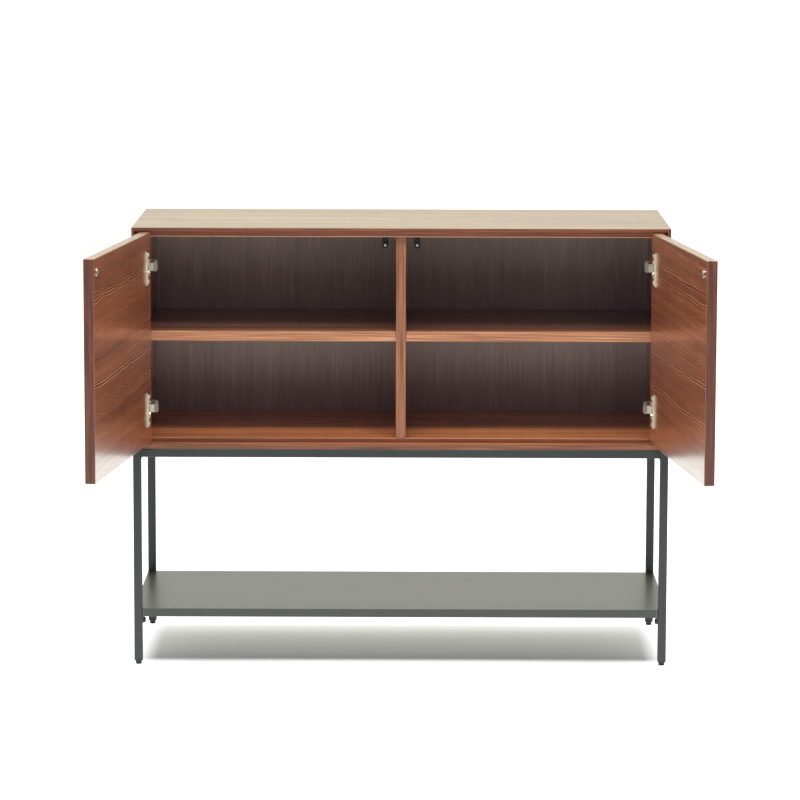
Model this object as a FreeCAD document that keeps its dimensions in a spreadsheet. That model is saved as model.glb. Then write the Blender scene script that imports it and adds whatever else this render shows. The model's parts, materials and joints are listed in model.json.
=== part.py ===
import FreeCAD, Part
import Sketcher
import os
import re
from FreeCAD import Placement, Rotation, Vector

# Two-door sideboard: a walnut cabinet on a square-tube steel frame with a lower tray.
# X runs along the width, Y from front to back, Z up. The doors stand open, as at rest.
# Millimetres and degrees. X = 0 is the middle of the cabinet and Z = 0 the floor.

SIZES = {
    # outer size
    "overall_width": 970,
    "overall_depth": 380,
    "overall_height": 800,
    "frame_height": 398,
    # cabinet boards
    "board": 18,
    "top_lip": 6,
    "side_lip": 6,
    "bottom_lip": 10,
    "edge_bevel": 0.8,
    # doors
    "door_board": 18,
    "door_back_gap": 2,
    "door_side_gap": 2,
    "door_top_gap": 2,
    "door_bottom_gap": 2.5,
    "door_centre_gap": 3,
    "door_bevel": 1,
    "open_angle": 97.5,
    "pivot_inset": 7.5,
    # back panel
    "back_board": 6,
    "back_inset": 1,
    "back_rebate": 8,
    "back_gap": 0.5,
    # shelves and their pegs
    "shelf_board": 18,
    "shelf_rise": 177,
    "shelf_side_gap": 0.75,
    "shelf_back_gap": 2,
    "peg_radius": 2.5,
    "peg_wall": 1,
    "peg_reach": 8,
    "peg_setback": 45,
    "peg_collar_radius": 4.5,
    "peg_collar": 0.6,
    # dowels between the divider and the boards above and below it
    "dowel_radius": 4,
    "dowel_length": 28,
    "dowel_in_board": 12,
    "dowel_setback": 45,
    "hole_slack": 0.1,
    # steel frame
    "tube": 15,
    "tube_wall": 1.5,
    "tube_corner": 1.6,
    "weld": 4,
    "weld_inset": 2,
    # feet
    "foot_radius": 5.5,
    "foot_pad": 4.5,
    "foot_taper": 3,
    "foot_cap": 1,
    "foot_stem": 18,
    "foot_slack": 0.2,
    # lower tray
    "tray_height": 104,
    "tray_skirt": 15,
    "tray_sheet": 1.5,
    "tray_slack": 0.5,
    "tray_end_gap": 3,
    "lug_sheet": 2.5,
    "lug_drop": 14,
    "lug_inset": 1.5,
    "lug_screw_drop": 7.3,
    "lug_screw_radius": 2.4,
    "lug_head_radius": 5.2,
    "lug_head": 3.4,
    "lug_screw_length": 8,
    # tabs that hold the cabinet on the frame
    "tab_length": 34,
    "tab_width": 22,
    "tab_sheet": 2,
    "tab_hole_inset": 8,
    "tab_setin": 160,
    "tab_screw_radius": 2,
    "tab_screw_length": 15,
    "tab_head_radius": 4,
    "tab_head": 2.4,
    # small screws in the back panel
    "back_screw_radius": 1.4,
    "back_screw_length": 12,
    "back_head_radius": 3,
    "back_head": 0.8,
    "back_screw_inset": 30,
    # hinge cup in the door
    "hinge_inset": 62.5,
    "cup_edge": 23,
    "cup_radius": 17.5,
    "cup_wall": 1,
    "cup_depth": 12.4,
    "cup_floor": 0.5,
    "flange": 1.2,
    "flange_radius": 18.6,
    "flange_cut": 12,
    "wing_shift": 8.1,
    "wing_length": 62,
    "wing_width": 18,
    "wing_corner": 1.5,
    "cup_rim": 2.4,
    "cup_rim_width": 2.6,
    "cup_rim_inset": 2,
    "cup_screw_shift": 4.5,
    "cup_screw_pitch": 48,
    "cup_screw_radius": 1.7,
    "cup_screw_length": 10,
    "cup_head_radius": 3.7,
    "cup_head": 2.3,
    # hinge arm on the cabinet side
    "nose_reach": 26.2,
    "nose_depth": 12.5,
    "nose_radius": 2.8,
    "pin_radius": 1.5,
    "pin_slack": 0.05,
    "arm_width": 18,
    "arm_sheet": 1.5,
    "arm_front": 17.5,
    "arm_bridge": 16.5,
    "arm_slope": 18,
    "arm_tail": 40,
    "arm_low": 9.5,
    # hinge link
    "link_length": 19.9,
    "link_sheet": 1.5,
    "link_side_gap": 0.4,
    "link_eye_radius": 2.4,
    "link_bulge": 4.3,
    "link_crest": 12.8,
    "link_open_angle": 240.7,
    # hinge mounting plate
    "plate": 3.5,
    "plate_start": 45,
    "plate_length": 46,
    "plate_width": 17,
    "plate_wing": 2.4,
    "plate_wing_start": 62,
    "plate_wing_width": 13,
    "plate_wing_length": 44,
    "plate_screw_pitch": 32,
    "plate_screw_radius": 2.4,
    "plate_screw_length": 11,
    "plate_head_radius": 4,
    "plate_head": 1.6,
    "arm_screw_radius": 2.4,
    "arm_head_radius": 3.8,
    "arm_head": 2,
    "arm_screw_setback": 30,
    # touch latches under the top board
    "latch_offset": 29,
    "latch_drop": 14.5,
    "latch_front": 25,
    "latch_length": 68,
    "latch_radius": 6,
    "latch_neck": 10.5,
    "latch_neck_setback": 2,
    "latch_neck_length": 46,
    "latch_flange": 2,
    "latch_flange_reach": 11,
    "latch_screw_reach": 7.8,
    "latch_screw_pitch": 34,
    "latch_screw_radius": 1.2,
    "latch_screw_length": 10,
    "latch_head_radius": 2,
    "latch_head": 1.2,
    "plunger_radius": 3,
    "plunger_slack": 0.06,
    "plunger_length": 56,
    "plunger_reach": 2.1,
    "latch_bore": 64,
    "magnet": 1.5,
    "magnet_radius": 2.8,
    # round strike plates on the doors
    "strike_radius": 7.6,
    "strike": 1.4,
    "strike_hole_radius": 1.9,
    "strike_hole_pitch": 9.8,
    "strike_head_radius": 2.6,
    "strike_head": 0.8,
    "strike_screw_radius": 1.3,
    "strike_screw_length": 9,
    # one overrun for every cut
    "overrun": 2,
}

PLACES = {
    "half_width": "overall_width / 2",
    "inner_half": "overall_width / 2 - board",
    "floor_top": "frame_height + board",
    "ceiling": "overall_height - board",
    "rebate": "door_board + door_back_gap",
    "back_front": "overall_depth - back_inset - back_board",
    "door_low": "frame_height + bottom_lip + door_bottom_gap",
    "door_high": "overall_height - top_lip - door_top_gap",
    "door_edge": "overall_width / 2 - side_lip - door_side_gap",
    "pivot_x": "overall_width / 2 - side_lip - door_side_gap - pivot_inset",
    "door_free": "overall_width / 2 - side_lip - door_side_gap - pivot_inset - door_centre_gap / 2",
    "leg_inner": "overall_width / 2 - tube",
    "leg_low": "foot_pad + foot_taper + foot_cap",
    "leg_back": "overall_depth - tube",
    "rail_low": "frame_height - tube",
    "skirt_low": "tray_height - tray_skirt",
    "hinge_low": "frame_height + bottom_lip + door_bottom_gap + hinge_inset",
    "hinge_high": "overall_height - top_lip - door_top_gap - hinge_inset",
    "cup_x": "cup_edge - pivot_inset",
    "wing_x": "cup_edge - pivot_inset + wing_shift",
    "cup_screw_x": "cup_edge - pivot_inset + cup_screw_shift",
    "cup_low": "door_board - cup_depth",
    "latch_z": "overall_height - board - latch_drop",
    "shelf_low": "frame_height + board + shelf_rise",
    "peg_seat": "board / 2 - peg_wall",
    "nose_x": "overall_width / 2 - side_lip - door_side_gap - pivot_inset - nose_reach",
    "nose_rise": "side_lip + door_side_gap + pivot_inset + nose_reach - board",
    "arm_top": "side_lip + door_side_gap + pivot_inset + nose_reach - board + nose_radius",
    "link_width": "arm_width - 2 * arm_sheet - 2 * link_side_gap",
}

# The open doors reach further out than the cabinet is deep. The part stands with the
# middle of its whole footprint, open doors included, on Y = 0.
PLACES["door_reach"] = ("(overall_width / 2 - side_lip - door_side_gap - pivot_inset - door_centre_gap / 2)"
                        " * sin(open_angle) - (door_board - door_bevel) * cos(open_angle)")

SIDES = ((-1, "left"), (1, "right"))
# Two coordinates closer than this count as the same.
HAIR = 0.0001
# A hollowed arm keeps less than this share of its blank.
HOLLOW_SHARE = 0.6
QUARTER_TURN = 90
HALF_TURN = 180

doc = FreeCAD.newDocument("sideboard")


def fill_sheet(name, rows, formula):
    sheet = doc.addObject("Spreadsheet::Sheet", name)
    for row, (alias, value) in enumerate(rows.items(), start=1):
        text = "=" + ex(value) if formula else str(value)
        sheet.set("A" + str(row), alias)
        sheet.set("B" + str(row), text)
        sheet.setAlias("B" + str(row), alias)
    doc.recompute()
    return sheet


def ex(text):
    """Write the sheet's name before each named size in an expression."""
    def full(match):
        word = match.group(0)
        if word in SIZES:
            return "Sizes." + word
        if word in PLACES:
            return "Places." + word
        return word
    return re.sub(r"[a-z_]+", full, str(text))


fill_sheet("Sizes", SIZES, False)
fill_sheet("Places", PLACES, True)
STAND = "(door_reach - overall_depth) / 2"


def measure(text):
    """The length that an expression of named sizes comes to."""
    return float(doc.Sizes.evalExpression(ex(text)))


def bind(thing, **links):
    for name, value in links.items():
        thing.setExpression(name.replace("__", "."), ex(value))


def bind_place(thing, prefix, point):
    for axis, value in zip("xyz", point):
        thing.setExpression(prefix + ".Base." + axis, ex(value))


ALONG_X = Rotation(Vector(0, 1, 0), QUARTER_TURN)
ALONG_Y = Rotation(Vector(1, 0, 0), -QUARTER_TURN)
ALONG_Z = Rotation()
BACK_X = Rotation(Vector(0, 1, 0), -QUARTER_TURN)
BACK_Y = Rotation(Vector(1, 0, 0), QUARTER_TURN)
BACK_Z = Rotation(Vector(1, 0, 0), HALF_TURN)
subparts = []


def stand(thing, point=("0", STAND, "0"), turn=None):
    """Put a finished piece in its place. A turn is about the upright axis."""
    if turn is None:
        thing.Placement = Placement(Vector(), Rotation())
    else:
        thing.Placement = Placement(Vector(), Rotation(Vector(0, 0, 1), QUARTER_TURN))
        thing.setExpression("Placement.Rotation.Angle", ex(turn))
    bind_place(thing, "Placement", point)
    subparts.append(thing)


def new_body(label):
    body = doc.addObject("PartDesign::Body", label)
    body.Label = label
    return body


def plane_of(body, role):
    return [p for p in body.Origin.OriginFeatures if p.Role == role][0]


def sketch_on(body, role, name, offset="0"):
    """A sketch on XY at height offset, on XZ at depth offset, or on YZ at width offset."""
    sketch = body.newObject("Sketcher::SketchObject", name)
    sketch.AttachmentSupport = [(plane_of(body, role), "")]
    sketch.MapMode = "FlatFace"
    sign = "-1 * " if role == "XZ_Plane" else ""
    sketch.setExpression("AttachmentOffset.Base.z", ex(sign + "(" + offset + ")"))
    return sketch


def outline(sketch, points):
    """A closed outline whose corners are each bound to two named distances."""
    count = len(points)
    guess = [Vector(measure(u), measure(v)) for u, v in points]
    for i in range(count):
        sketch.addGeometry(Part.LineSegment(guess[i], guess[(i + 1) % count]), False)
    for i in range(count):
        sketch.addConstraint(Sketcher.Constraint("Coincident", i, 2, (i + 1) % count, 1))
    for i, point in enumerate(points):
        for kind, value, start in (("DistanceX", point[0], guess[i].x), ("DistanceY", point[1], guess[i].y)):
            index = sketch.addConstraint(Sketcher.Constraint(kind, -1, 1, i, 1, start))
            sketch.setExpression("Constraints[%d]" % index, ex(value))


def rectangle(sketch, low_u, low_v, high_u, high_v):
    outline(sketch, [(low_u, low_v), (high_u, low_v), (high_u, high_v), (low_u, high_v)])


def pad(body, sketch, name, length, reverse=False):
    feature = body.newObject("PartDesign::Pad", name)
    feature.Profile = sketch
    feature.Reversed = reverse
    bind(feature, Length=length)
    body.Tip = feature
    return feature


def primitive(body, kind, name, point, turn=ALONG_Z, **links):
    """Add or cut a box, cylinder or cone in a body, placed from the body's own origin."""
    feature = body.newObject("PartDesign::" + kind, name)
    feature.AttachmentSupport = [(plane_of(body, "XY_Plane"), "")]
    feature.MapMode = "FlatFace"
    feature.AttachmentOffset = Placement(Vector(), turn)
    bind_place(feature, "AttachmentOffset", point)
    bind(feature, **links)
    body.Tip = feature
    return feature


def box_in(body, kind, name, low, high):
    sizes = ["(" + b + ") - (" + a + ")" for a, b in zip(low, high)]
    return primitive(body, kind, name, low, Length=sizes[0], Width=sizes[1], Height=sizes[2])


def board(label, low, high):
    """A plain board: a rectangle seen from above, padded up."""
    body = new_body(label)
    sketch = sketch_on(body, "XY_Plane", label + "_outline", low[2])
    rectangle(sketch, low[0], low[1], high[0], high[1])
    pad(body, sketch, label + "_board", "(" + high[2] + ") - (" + low[2] + ")")
    return body


def soften(body, name, test, size):
    """Chamfer the straight edges that the test picks by their two end points."""
    doc.recompute()
    base = body.Tip
    names = []
    for i, edge in enumerate(base.Shape.Edges, start=1):
        ends = [v.Point for v in edge.Vertexes]
        if len(ends) == 2 and edge.Curve.TypeId == "Part::GeomLine" and test(ends[0], ends[1]):
            names.append("Edge%d" % i)
    feature = body.newObject("PartDesign::Chamfer", name)
    feature.Base = (base, names)
    bind(feature, Size=size)
    body.Tip = feature
    return feature


def cylinder(label, point, turn, radius, length):
    piece = doc.addObject("Part::Cylinder", label)
    piece.Placement = Placement(Vector(), turn)
    bind_place(piece, "Placement", point)
    bind(piece, Radius=radius, Height=length)
    return piece


def join(label, base, tool):
    fuse = doc.addObject("Part::Fuse", label)
    fuse.Base = base
    fuse.Tool = tool
    return fuse


def group(label, pieces):
    bundle = doc.addObject("Part::Compound", label)
    bundle.Label = label
    bundle.Links = pieces
    return bundle


def along(point, axis, distance):
    """A point moved along one axis, as named lengths."""
    moved = list(point)
    moved["xyz".index(axis[-1])] = "(" + moved["xyz".index(axis[-1])] + ") " + axis[0] + " (" + distance + ")"
    return tuple(moved)


TURNS = {"+x": ALONG_X, "-x": BACK_X, "+y": ALONG_Y, "-y": BACK_Y, "+z": ALONG_Z, "-z": BACK_Z}


def screw(label, seat, axis, kind):
    """A screw whose head stands on the seat and whose shank points against the axis."""
    against = {"+": "-", "-": "+"}[axis[0]] + axis[1]
    head = cylinder(label + "_head", seat, TURNS[axis], kind + "_head_radius", kind + "_head")
    shank = cylinder(label + "_shank", seat, TURNS[against], kind + "_screw_radius", kind + "_screw_length")
    return join(label, head, shank)


# Cabinet boards.
# Top, bottom and sides meet in mitres, so each is a trapezoid seen from the front.

def shell_board(label, corners):
    body = new_body(label)
    sketch = sketch_on(body, "XZ_Plane", label + "_mitre")
    outline(sketch, corners)
    pad(body, sketch, label + "_board", "overall_depth", True)
    return body


top = shell_board("top_panel", [
    ("-half_width", "overall_height"),
    ("-inner_half", "ceiling"),
    ("inner_half", "ceiling"),
    ("half_width", "overall_height"),
])
box_in(top, "SubtractiveBox", "top_door_rebate",
       ("-half_width", "-overrun", "ceiling - overrun"),
       ("half_width", "rebate", "overall_height - top_lip"))
box_in(top, "SubtractiveBox", "top_back_rebate",
       ("-half_width", "back_front", "ceiling - overrun"),
       ("half_width", "overall_depth + overrun", "ceiling + back_rebate"))

bottom = shell_board("bottom_panel", [
    ("-half_width", "frame_height"),
    ("half_width", "frame_height"),
    ("inner_half", "floor_top"),
    ("-inner_half", "floor_top"),
])
box_in(bottom, "SubtractiveBox", "bottom_door_rebate",
       ("-half_width", "-overrun", "frame_height + bottom_lip"),
       ("half_width", "rebate", "floor_top + overrun"))
box_in(bottom, "SubtractiveBox", "bottom_back_rebate",
       ("-half_width", "back_front", "floor_top - back_rebate"),
       ("half_width", "overall_depth + overrun", "floor_top + overrun"))

sides = {}
for side, word in SIDES:
    s = "%d * " % side
    body = shell_board(word + "_side_panel", [
        (s + "half_width", "frame_height"),
        (s + "inner_half", "floor_top"),
        (s + "inner_half", "ceiling"),
        (s + "half_width", "overall_height"),
    ])
    sides[word] = body
    lip = "half_width - side_lip"
    cut_span = (s + "(" + lip + ")", s + "(inner_half - overrun)")
    low, high = cut_span if side < 0 else (cut_span[1], cut_span[0])
    box_in(body, "SubtractiveBox", word + "_door_rebate",
           (low, "-overrun", "frame_height + bottom_lip"),
           (high, "rebate", "overall_height - top_lip"))
    cut_span = (s + "(inner_half + back_rebate)", s + "(inner_half - overrun)")
    low, high = cut_span if side < 0 else (cut_span[1], cut_span[0])
    box_in(body, "SubtractiveBox", word + "_back_rebate",
           (low, "back_front", "floor_top - back_rebate"),
           (high, "overall_depth + overrun", "ceiling + back_rebate"))

divider = board("centre_divider",
                ("-board / 2", "rebate", "floor_top"),
                ("board / 2", "back_front", "ceiling"))

back = board("back_panel",
             ("-(inner_half + back_rebate - back_gap)", "back_front", "floor_top - back_rebate + back_gap"),
             ("inner_half + back_rebate - back_gap", "back_front + back_board",
              "ceiling + back_rebate - back_gap"))

shelves = {}
for side, word in SIDES:
    near_end = "%d * (board / 2 + shelf_side_gap)" % side
    far_end = "%d * (inner_half - shelf_side_gap)" % side
    low, high = (far_end, near_end) if side < 0 else (near_end, far_end)
    shelves[word] = board(word + "_shelf",
                          (low, "rebate", "shelf_low"),
                          (high, "back_front - shelf_back_gap", "shelf_low + shelf_board"))

# Dowels fix the divider to the top and bottom boards.
dowels = []
DOWEL_DEPTHS = ["rebate + dowel_setback", "(rebate + back_front) / 2", "back_front - dowel_setback"]
for i, depth in enumerate(DOWEL_DEPTHS):
    for level, base in (("low", "floor_top - dowel_in_board"),
                        ("high", "ceiling + dowel_in_board - dowel_length")):
        name = "dowel_%s_%d" % (level, i + 1)
        dowels.append(cylinder(name, ("0", depth, base), ALONG_Z, "dowel_radius", "dowel_length"))
        for body in ((bottom, divider) if level == "low" else (top, divider)):
            primitive(body, "SubtractiveCylinder", "%s_%s_hole" % (body.Name, name),
                      ("0", depth, base + " - hole_slack"), ALONG_Z,
                      Radius="dowel_radius + hole_slack", Height="dowel_length + 2 * hole_slack")
stand(group("divider_dowels", dowels))

# Pegs that the shelves lie on.
pegs = []
for side, word in SIDES:
    walls = (("outer", "%d * inner_half" % side, -side), ("inner", "%d * board / 2" % side, side))
    for wall, face, way in walls:
        axis = ("+x", "-x")[way < 0]
        against = ("-x", "+x")[way < 0]
        for end, depth in (("front", "rebate + peg_setback"), ("rear", "back_front - peg_setback")):
            name = "%s_%s_%s_peg" % (word, wall, end)
            seat = (face, depth, "shelf_low - peg_radius")
            inner = cylinder(name + "_seat", seat, TURNS[against], "peg_radius", "peg_seat")
            outer = cylinder(name + "_reach", seat, TURNS[axis], "peg_radius", "peg_reach")
            pegs.append(join(name, inner, outer))
            body = sides[word] if wall == "outer" else divider
            primitive(body, "SubtractiveCylinder", "%s_%s_hole" % (body.Name, name),
                      along(seat, axis, "overrun"), TURNS[against],
                      Radius="peg_radius + hole_slack", Height="peg_seat + hole_slack + overrun")
stand(group("shelf_pegs", pegs))

# Screws of the back panel.
BACK_SCREW_SHARES = (-1, -0.5, 0, 0.5, 1)
back_screws = []
for row, height in (("low", "floor_top - back_rebate / 2"), ("high", "ceiling + back_rebate / 2")):
    for i, share in enumerate(BACK_SCREW_SHARES):
        place = "%g * (inner_half - back_screw_inset)" % share
        name = "back_screw_%s_%d" % (row, i + 1)
        seat = (place, "back_front + back_board", height)
        back_screws.append(screw(name, seat, "+y", "back"))
        for body in (back, bottom if row == "low" else top):
            primitive(body, "SubtractiveCylinder", "%s_%s_hole" % (body.Name, name),
                      along(seat, "+y", "overrun"), BACK_Y,
                      Radius="back_screw_radius + hole_slack",
                      Height="back_screw_length + hole_slack + overrun")
stand(group("back_panel_screws", back_screws))

# Steel frame.

def tube(label, low, high, axis):
    """A square tube with rounded corners, its section drawn across its own axis."""
    role = {"x": "YZ_Plane", "y": "XZ_Plane", "z": "XY_Plane"}[axis]
    k = "xyz".index(axis)
    u, v = [i for i in range(3) if i != k]
    body = new_body(label)
    start = low[k]
    run = "(" + high[k] + ") - (" + low[k] + ")"
    sketch = sketch_on(body, role, label + "_section", start)
    rectangle(sketch, low[u], low[v], high[u], high[v])
    pad(body, sketch, label + "_length", run, axis == "y")
    doc.recompute()
    blank = body.Tip
    names = []
    for i, edge in enumerate(blank.Shape.Edges, start=1):
        ends = [vertex.Point for vertex in edge.Vertexes]
        if abs(abs(ends[0][k] - ends[1][k]) - measure(run)) < HAIR:
            names.append("Edge%d" % i)
    rounding = body.newObject("PartDesign::Fillet", label + "_corners")
    rounding.Base = (blank, names)
    bind(rounding, Radius="tube_corner")
    body.Tip = rounding
    inner_low = ["(" + t + ") + tube_wall" for t in low]
    inner_high = ["(" + t + ") - tube_wall" for t in high]
    inner_low[k] = "(" + low[k] + ") - overrun"
    inner_high[k] = "(" + high[k] + ") + overrun"
    box_in(body, "SubtractiveBox", label + "_hollow", inner_low, inner_high)
    return body


legs = {}
for side, word in SIDES:
    x_low = "-half_width" if side < 0 else "leg_inner"
    x_high = "-leg_inner" if side < 0 else "half_width"
    for end, y_low, y_high in (("front", "0", "tube"), ("rear", "leg_back", "overall_depth")):
        legs[end, word] = tube("%s_%s_leg" % (end, word), (x_low, y_low, "leg_low"),
                               (x_high, y_high, "frame_height"), "z")
    stand(tube(word + "_top_rail", (x_low, "tube", "rail_low"), (x_high, "leg_back", "frame_height"), "y"))
for end, y_low, y_high in (("front", "0", "tube"), ("rear", "leg_back", "overall_depth")):
    stand(tube(end + "_top_rail", ("-leg_inner", y_low, "rail_low"),
               ("leg_inner", y_high, "frame_height"), "x"))

# Small weld beads fill the inner corners under the top rails.
beads = []


def bead(name, corner, way, axis):
    """A concave bead: a square stick less a round one."""
    stick = doc.addObject("Part::Box", name + "_stick")
    k = "xyz".index(axis)
    low = list(corner)
    if way < 0:
        low[k] = "(" + corner[k] + ") - weld"
    low[2] = "(" + corner[2] + ") - weld"
    other = 1 - k
    low[other] = "(" + corner[other] + ") + weld_inset"
    bind_place(stick, "Placement", low)
    lengths = ["weld", "weld", "weld"]
    lengths[other] = "tube - 2 * weld_inset"
    bind(stick, Length=lengths[0], Width=lengths[1], Height=lengths[2])
    centre = list(corner)
    centre[k] = "(" + corner[k] + ") " + "+-"[way < 0] + " weld"
    centre[2] = "(" + corner[2] + ") - weld"
    centre[other] = "(" + corner[other] + ") + weld_inset - overrun"
    hollow = cylinder(name + "_hollow", centre, (ALONG_Y, ALONG_X)[other == 0], "weld",
                      "tube - 2 * weld_inset + 2 * overrun")
    cut = doc.addObject("Part::Cut", name)
    cut.Base = stick
    cut.Tool = hollow
    return cut


for side, word in SIDES:
    x_leg = "%d * leg_inner" % side
    x_rail = "-half_width" if side < 0 else "leg_inner"
    for end, y_leg, y_rail, way in (("front", "0", "tube", 1), ("rear", "leg_back", "leg_back", -1)):
        beads.append(bead("bead_%s_%s_a" % (end, word), (x_leg, y_leg, "rail_low"), -side, "x"))
        beads.append(bead("bead_%s_%s_b" % (end, word), (x_rail, y_rail, "rail_low"), way, "y"))
stand(group("frame_welds", beads))

# Feet: plastic glides pushed into the leg ends.
for side, word in SIDES:
    x_mid = "%d * (half_width - tube / 2)" % side
    for end, y_mid in (("front", "tube / 2"), ("rear", "overall_depth - tube / 2")):
        label = "%s_%s_foot" % (end, word)
        body = new_body(label)
        primitive(body, "AdditiveCylinder", label + "_pad", (x_mid, y_mid, "0"),
                  Radius="foot_radius", Height="foot_pad")
        primitive(body, "AdditiveCone", label + "_taper", (x_mid, y_mid, "foot_pad"),
                  Radius1="foot_radius", Radius2="tube / 2", Height="foot_taper")
        half_cap = "tube / 2"
        box_in(body, "AdditiveBox", label + "_cap",
               (x_mid + " - " + half_cap, y_mid + " - " + half_cap, "foot_pad + foot_taper"),
               (x_mid + " + " + half_cap, y_mid + " + " + half_cap, "leg_low"))
        half_stem = "(tube / 2 - tube_wall - foot_slack)"
        box_in(body, "AdditiveBox", label + "_stem",
               (x_mid + " - " + half_stem, y_mid + " - " + half_stem, "leg_low"),
               (x_mid + " + " + half_stem, y_mid + " + " + half_stem, "leg_low + foot_stem"))
        stand(body)

# Lower tray: one folded sheet with a skirt, notched round the front legs.
tray = new_body("lower_tray")
sketch = sketch_on(tray, "XY_Plane", "tray_outline", "tray_height - tray_sheet")
outline(sketch, [
    ("-(leg_inner - tray_slack)", "0"),
    ("leg_inner - tray_slack", "0"),
    ("leg_inner - tray_slack", "tube + tray_slack"),
    ("half_width", "tube + tray_slack"),
    ("half_width", "leg_back"),
    ("-half_width", "leg_back"),
    ("-half_width", "tube + tray_slack"),
    ("-(leg_inner - tray_slack)", "tube + tray_slack"),
])
pad(tray, sketch, "tray_top", "tray_sheet")
box_in(tray, "AdditiveBox", "tray_front_skirt",
       ("-(leg_inner - tray_end_gap)", "0", "skirt_low"),
       ("leg_inner - tray_end_gap", "tray_sheet", "tray_height - tray_sheet / 2"))
box_in(tray, "AdditiveBox", "tray_rear_skirt",
       ("-half_width", "leg_back - tray_sheet", "skirt_low"),
       ("half_width", "leg_back", "tray_height - tray_sheet / 2"))
for side, word in SIDES:
    x_low = "-half_width" if side < 0 else "half_width - tray_sheet"
    x_high = "-half_width + tray_sheet" if side < 0 else "half_width"
    box_in(tray, "AdditiveBox", "tray_%s_skirt" % word,
           (x_low, "tube + tray_slack", "skirt_low"),
           (x_high, "leg_back", "tray_height - tray_sheet / 2"))

# The tray hangs on two lugs at the front legs and is screwed to the rear legs.
lug_screws = []
lugs = []
for side, word in SIDES:
    x_face = "%d * leg_inner" % side
    x_inner = "%d * (leg_inner - lug_sheet)" % side
    x_low, x_high = (x_face, x_inner) if side < 0 else (x_inner, x_face)
    lug = doc.addObject("Part::Box", word + "_lug_sheet")
    bind_place(lug, "Placement", (x_low, "lug_inset", "skirt_low - lug_drop / 2"))
    bind(lug, Length="lug_sheet", Width="tube - 2 * lug_inset",
         Height="tray_height - tray_sheet - (skirt_low - lug_drop / 2)")
    end_round = cylinder(word + "_lug_round", (x_low, "tube / 2", "skirt_low - lug_drop / 2"), ALONG_X,
                         "tube / 2 - lug_inset", "lug_sheet")
    lug_plate = join(word + "_lug_plate", lug, end_round)
    inward = ("+x", "-x")[side > 0]
    outward = ("-x", "+x")[side > 0]
    seat = (x_inner, "tube / 2", "skirt_low - lug_screw_drop")
    hole = cylinder(word + "_lug_hole", along(seat, inward, "overrun"), TURNS[outward],
                    "lug_screw_radius + hole_slack", "lug_sheet + 2 * overrun")
    cut = doc.addObject("Part::Cut", word + "_tray_lug_cut")
    cut.Base = lug_plate
    cut.Tool = hole
    lugs.append(cut)
    lug_screws.append(screw(word + "_lug_screw", seat, inward, "lug"))
    primitive(legs["front", word], "SubtractiveCylinder", word + "_lug_leg_hole",
              along(seat, inward, "overrun"), TURNS[outward],
              Radius="lug_screw_radius + hole_slack", Height="lug_sheet + tube_wall + 2 * overrun")
    seat = ("%d * (half_width - tube / 2)" % side, "leg_back - tray_sheet", "tray_height - tray_skirt / 2")
    lug_screws.append(screw(word + "_rear_tray_screw", seat, "-y", "lug"))
    for body in (tray, legs["rear", word]):
        primitive(body, "SubtractiveCylinder", "%s_%s_screw_hole" % (body.Name, word),
                  along(seat, "-y", "overrun"), ALONG_Y,
                  Radius="lug_screw_radius + hole_slack", Height="tray_sheet + tube_wall + 2 * overrun")
stand(tray)
stand(group("tray_lugs", lugs))
stand(group("tray_screws", lug_screws))
for leg in legs.values():
    stand(leg)

# Tabs welded inside the top rails are screwed up into the bottom board.
tabs = []
tab_screws = []
for side, word in SIDES:
    x_mid = "%d * (half_width - tab_setin)" % side
    for end, y_low, y_hole in (("front", "tube", "tube + tab_width - tab_hole_inset"),
                               ("rear", "leg_back - tab_width", "leg_back - tab_width + tab_hole_inset")):
        name = "%s_%s_tab" % (end, word)
        plate = doc.addObject("Part::Box", name + "_sheet")
        bind_place(plate, "Placement", (x_mid + " - tab_length / 2", y_low, "frame_height - tab_sheet"))
        bind(plate, Length="tab_length", Width="tab_width", Height="tab_sheet")
        seat = (x_mid, y_hole, "frame_height - tab_sheet")
        hole = cylinder(name + "_hole", along(seat, "-z", "overrun"), ALONG_Z,
                        "tab_screw_radius + hole_slack", "tab_sheet + 2 * overrun")
        cut = doc.addObject("Part::Cut", name)
        cut.Base = plate
        cut.Tool = hole
        tabs.append(cut)
        tab_screws.append(screw(name + "_screw", seat, "-z", "tab"))
        primitive(bottom, "SubtractiveCylinder", name + "_board_hole",
                  along(seat, "-z", "overrun"), ALONG_Z,
                  Radius="tab_screw_radius + hole_slack",
                  Height="tab_screw_length + hole_slack + overrun")
stand(group("cabinet_tabs", tabs))
stand(group("cabinet_tab_screws", tab_screws))

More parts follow.
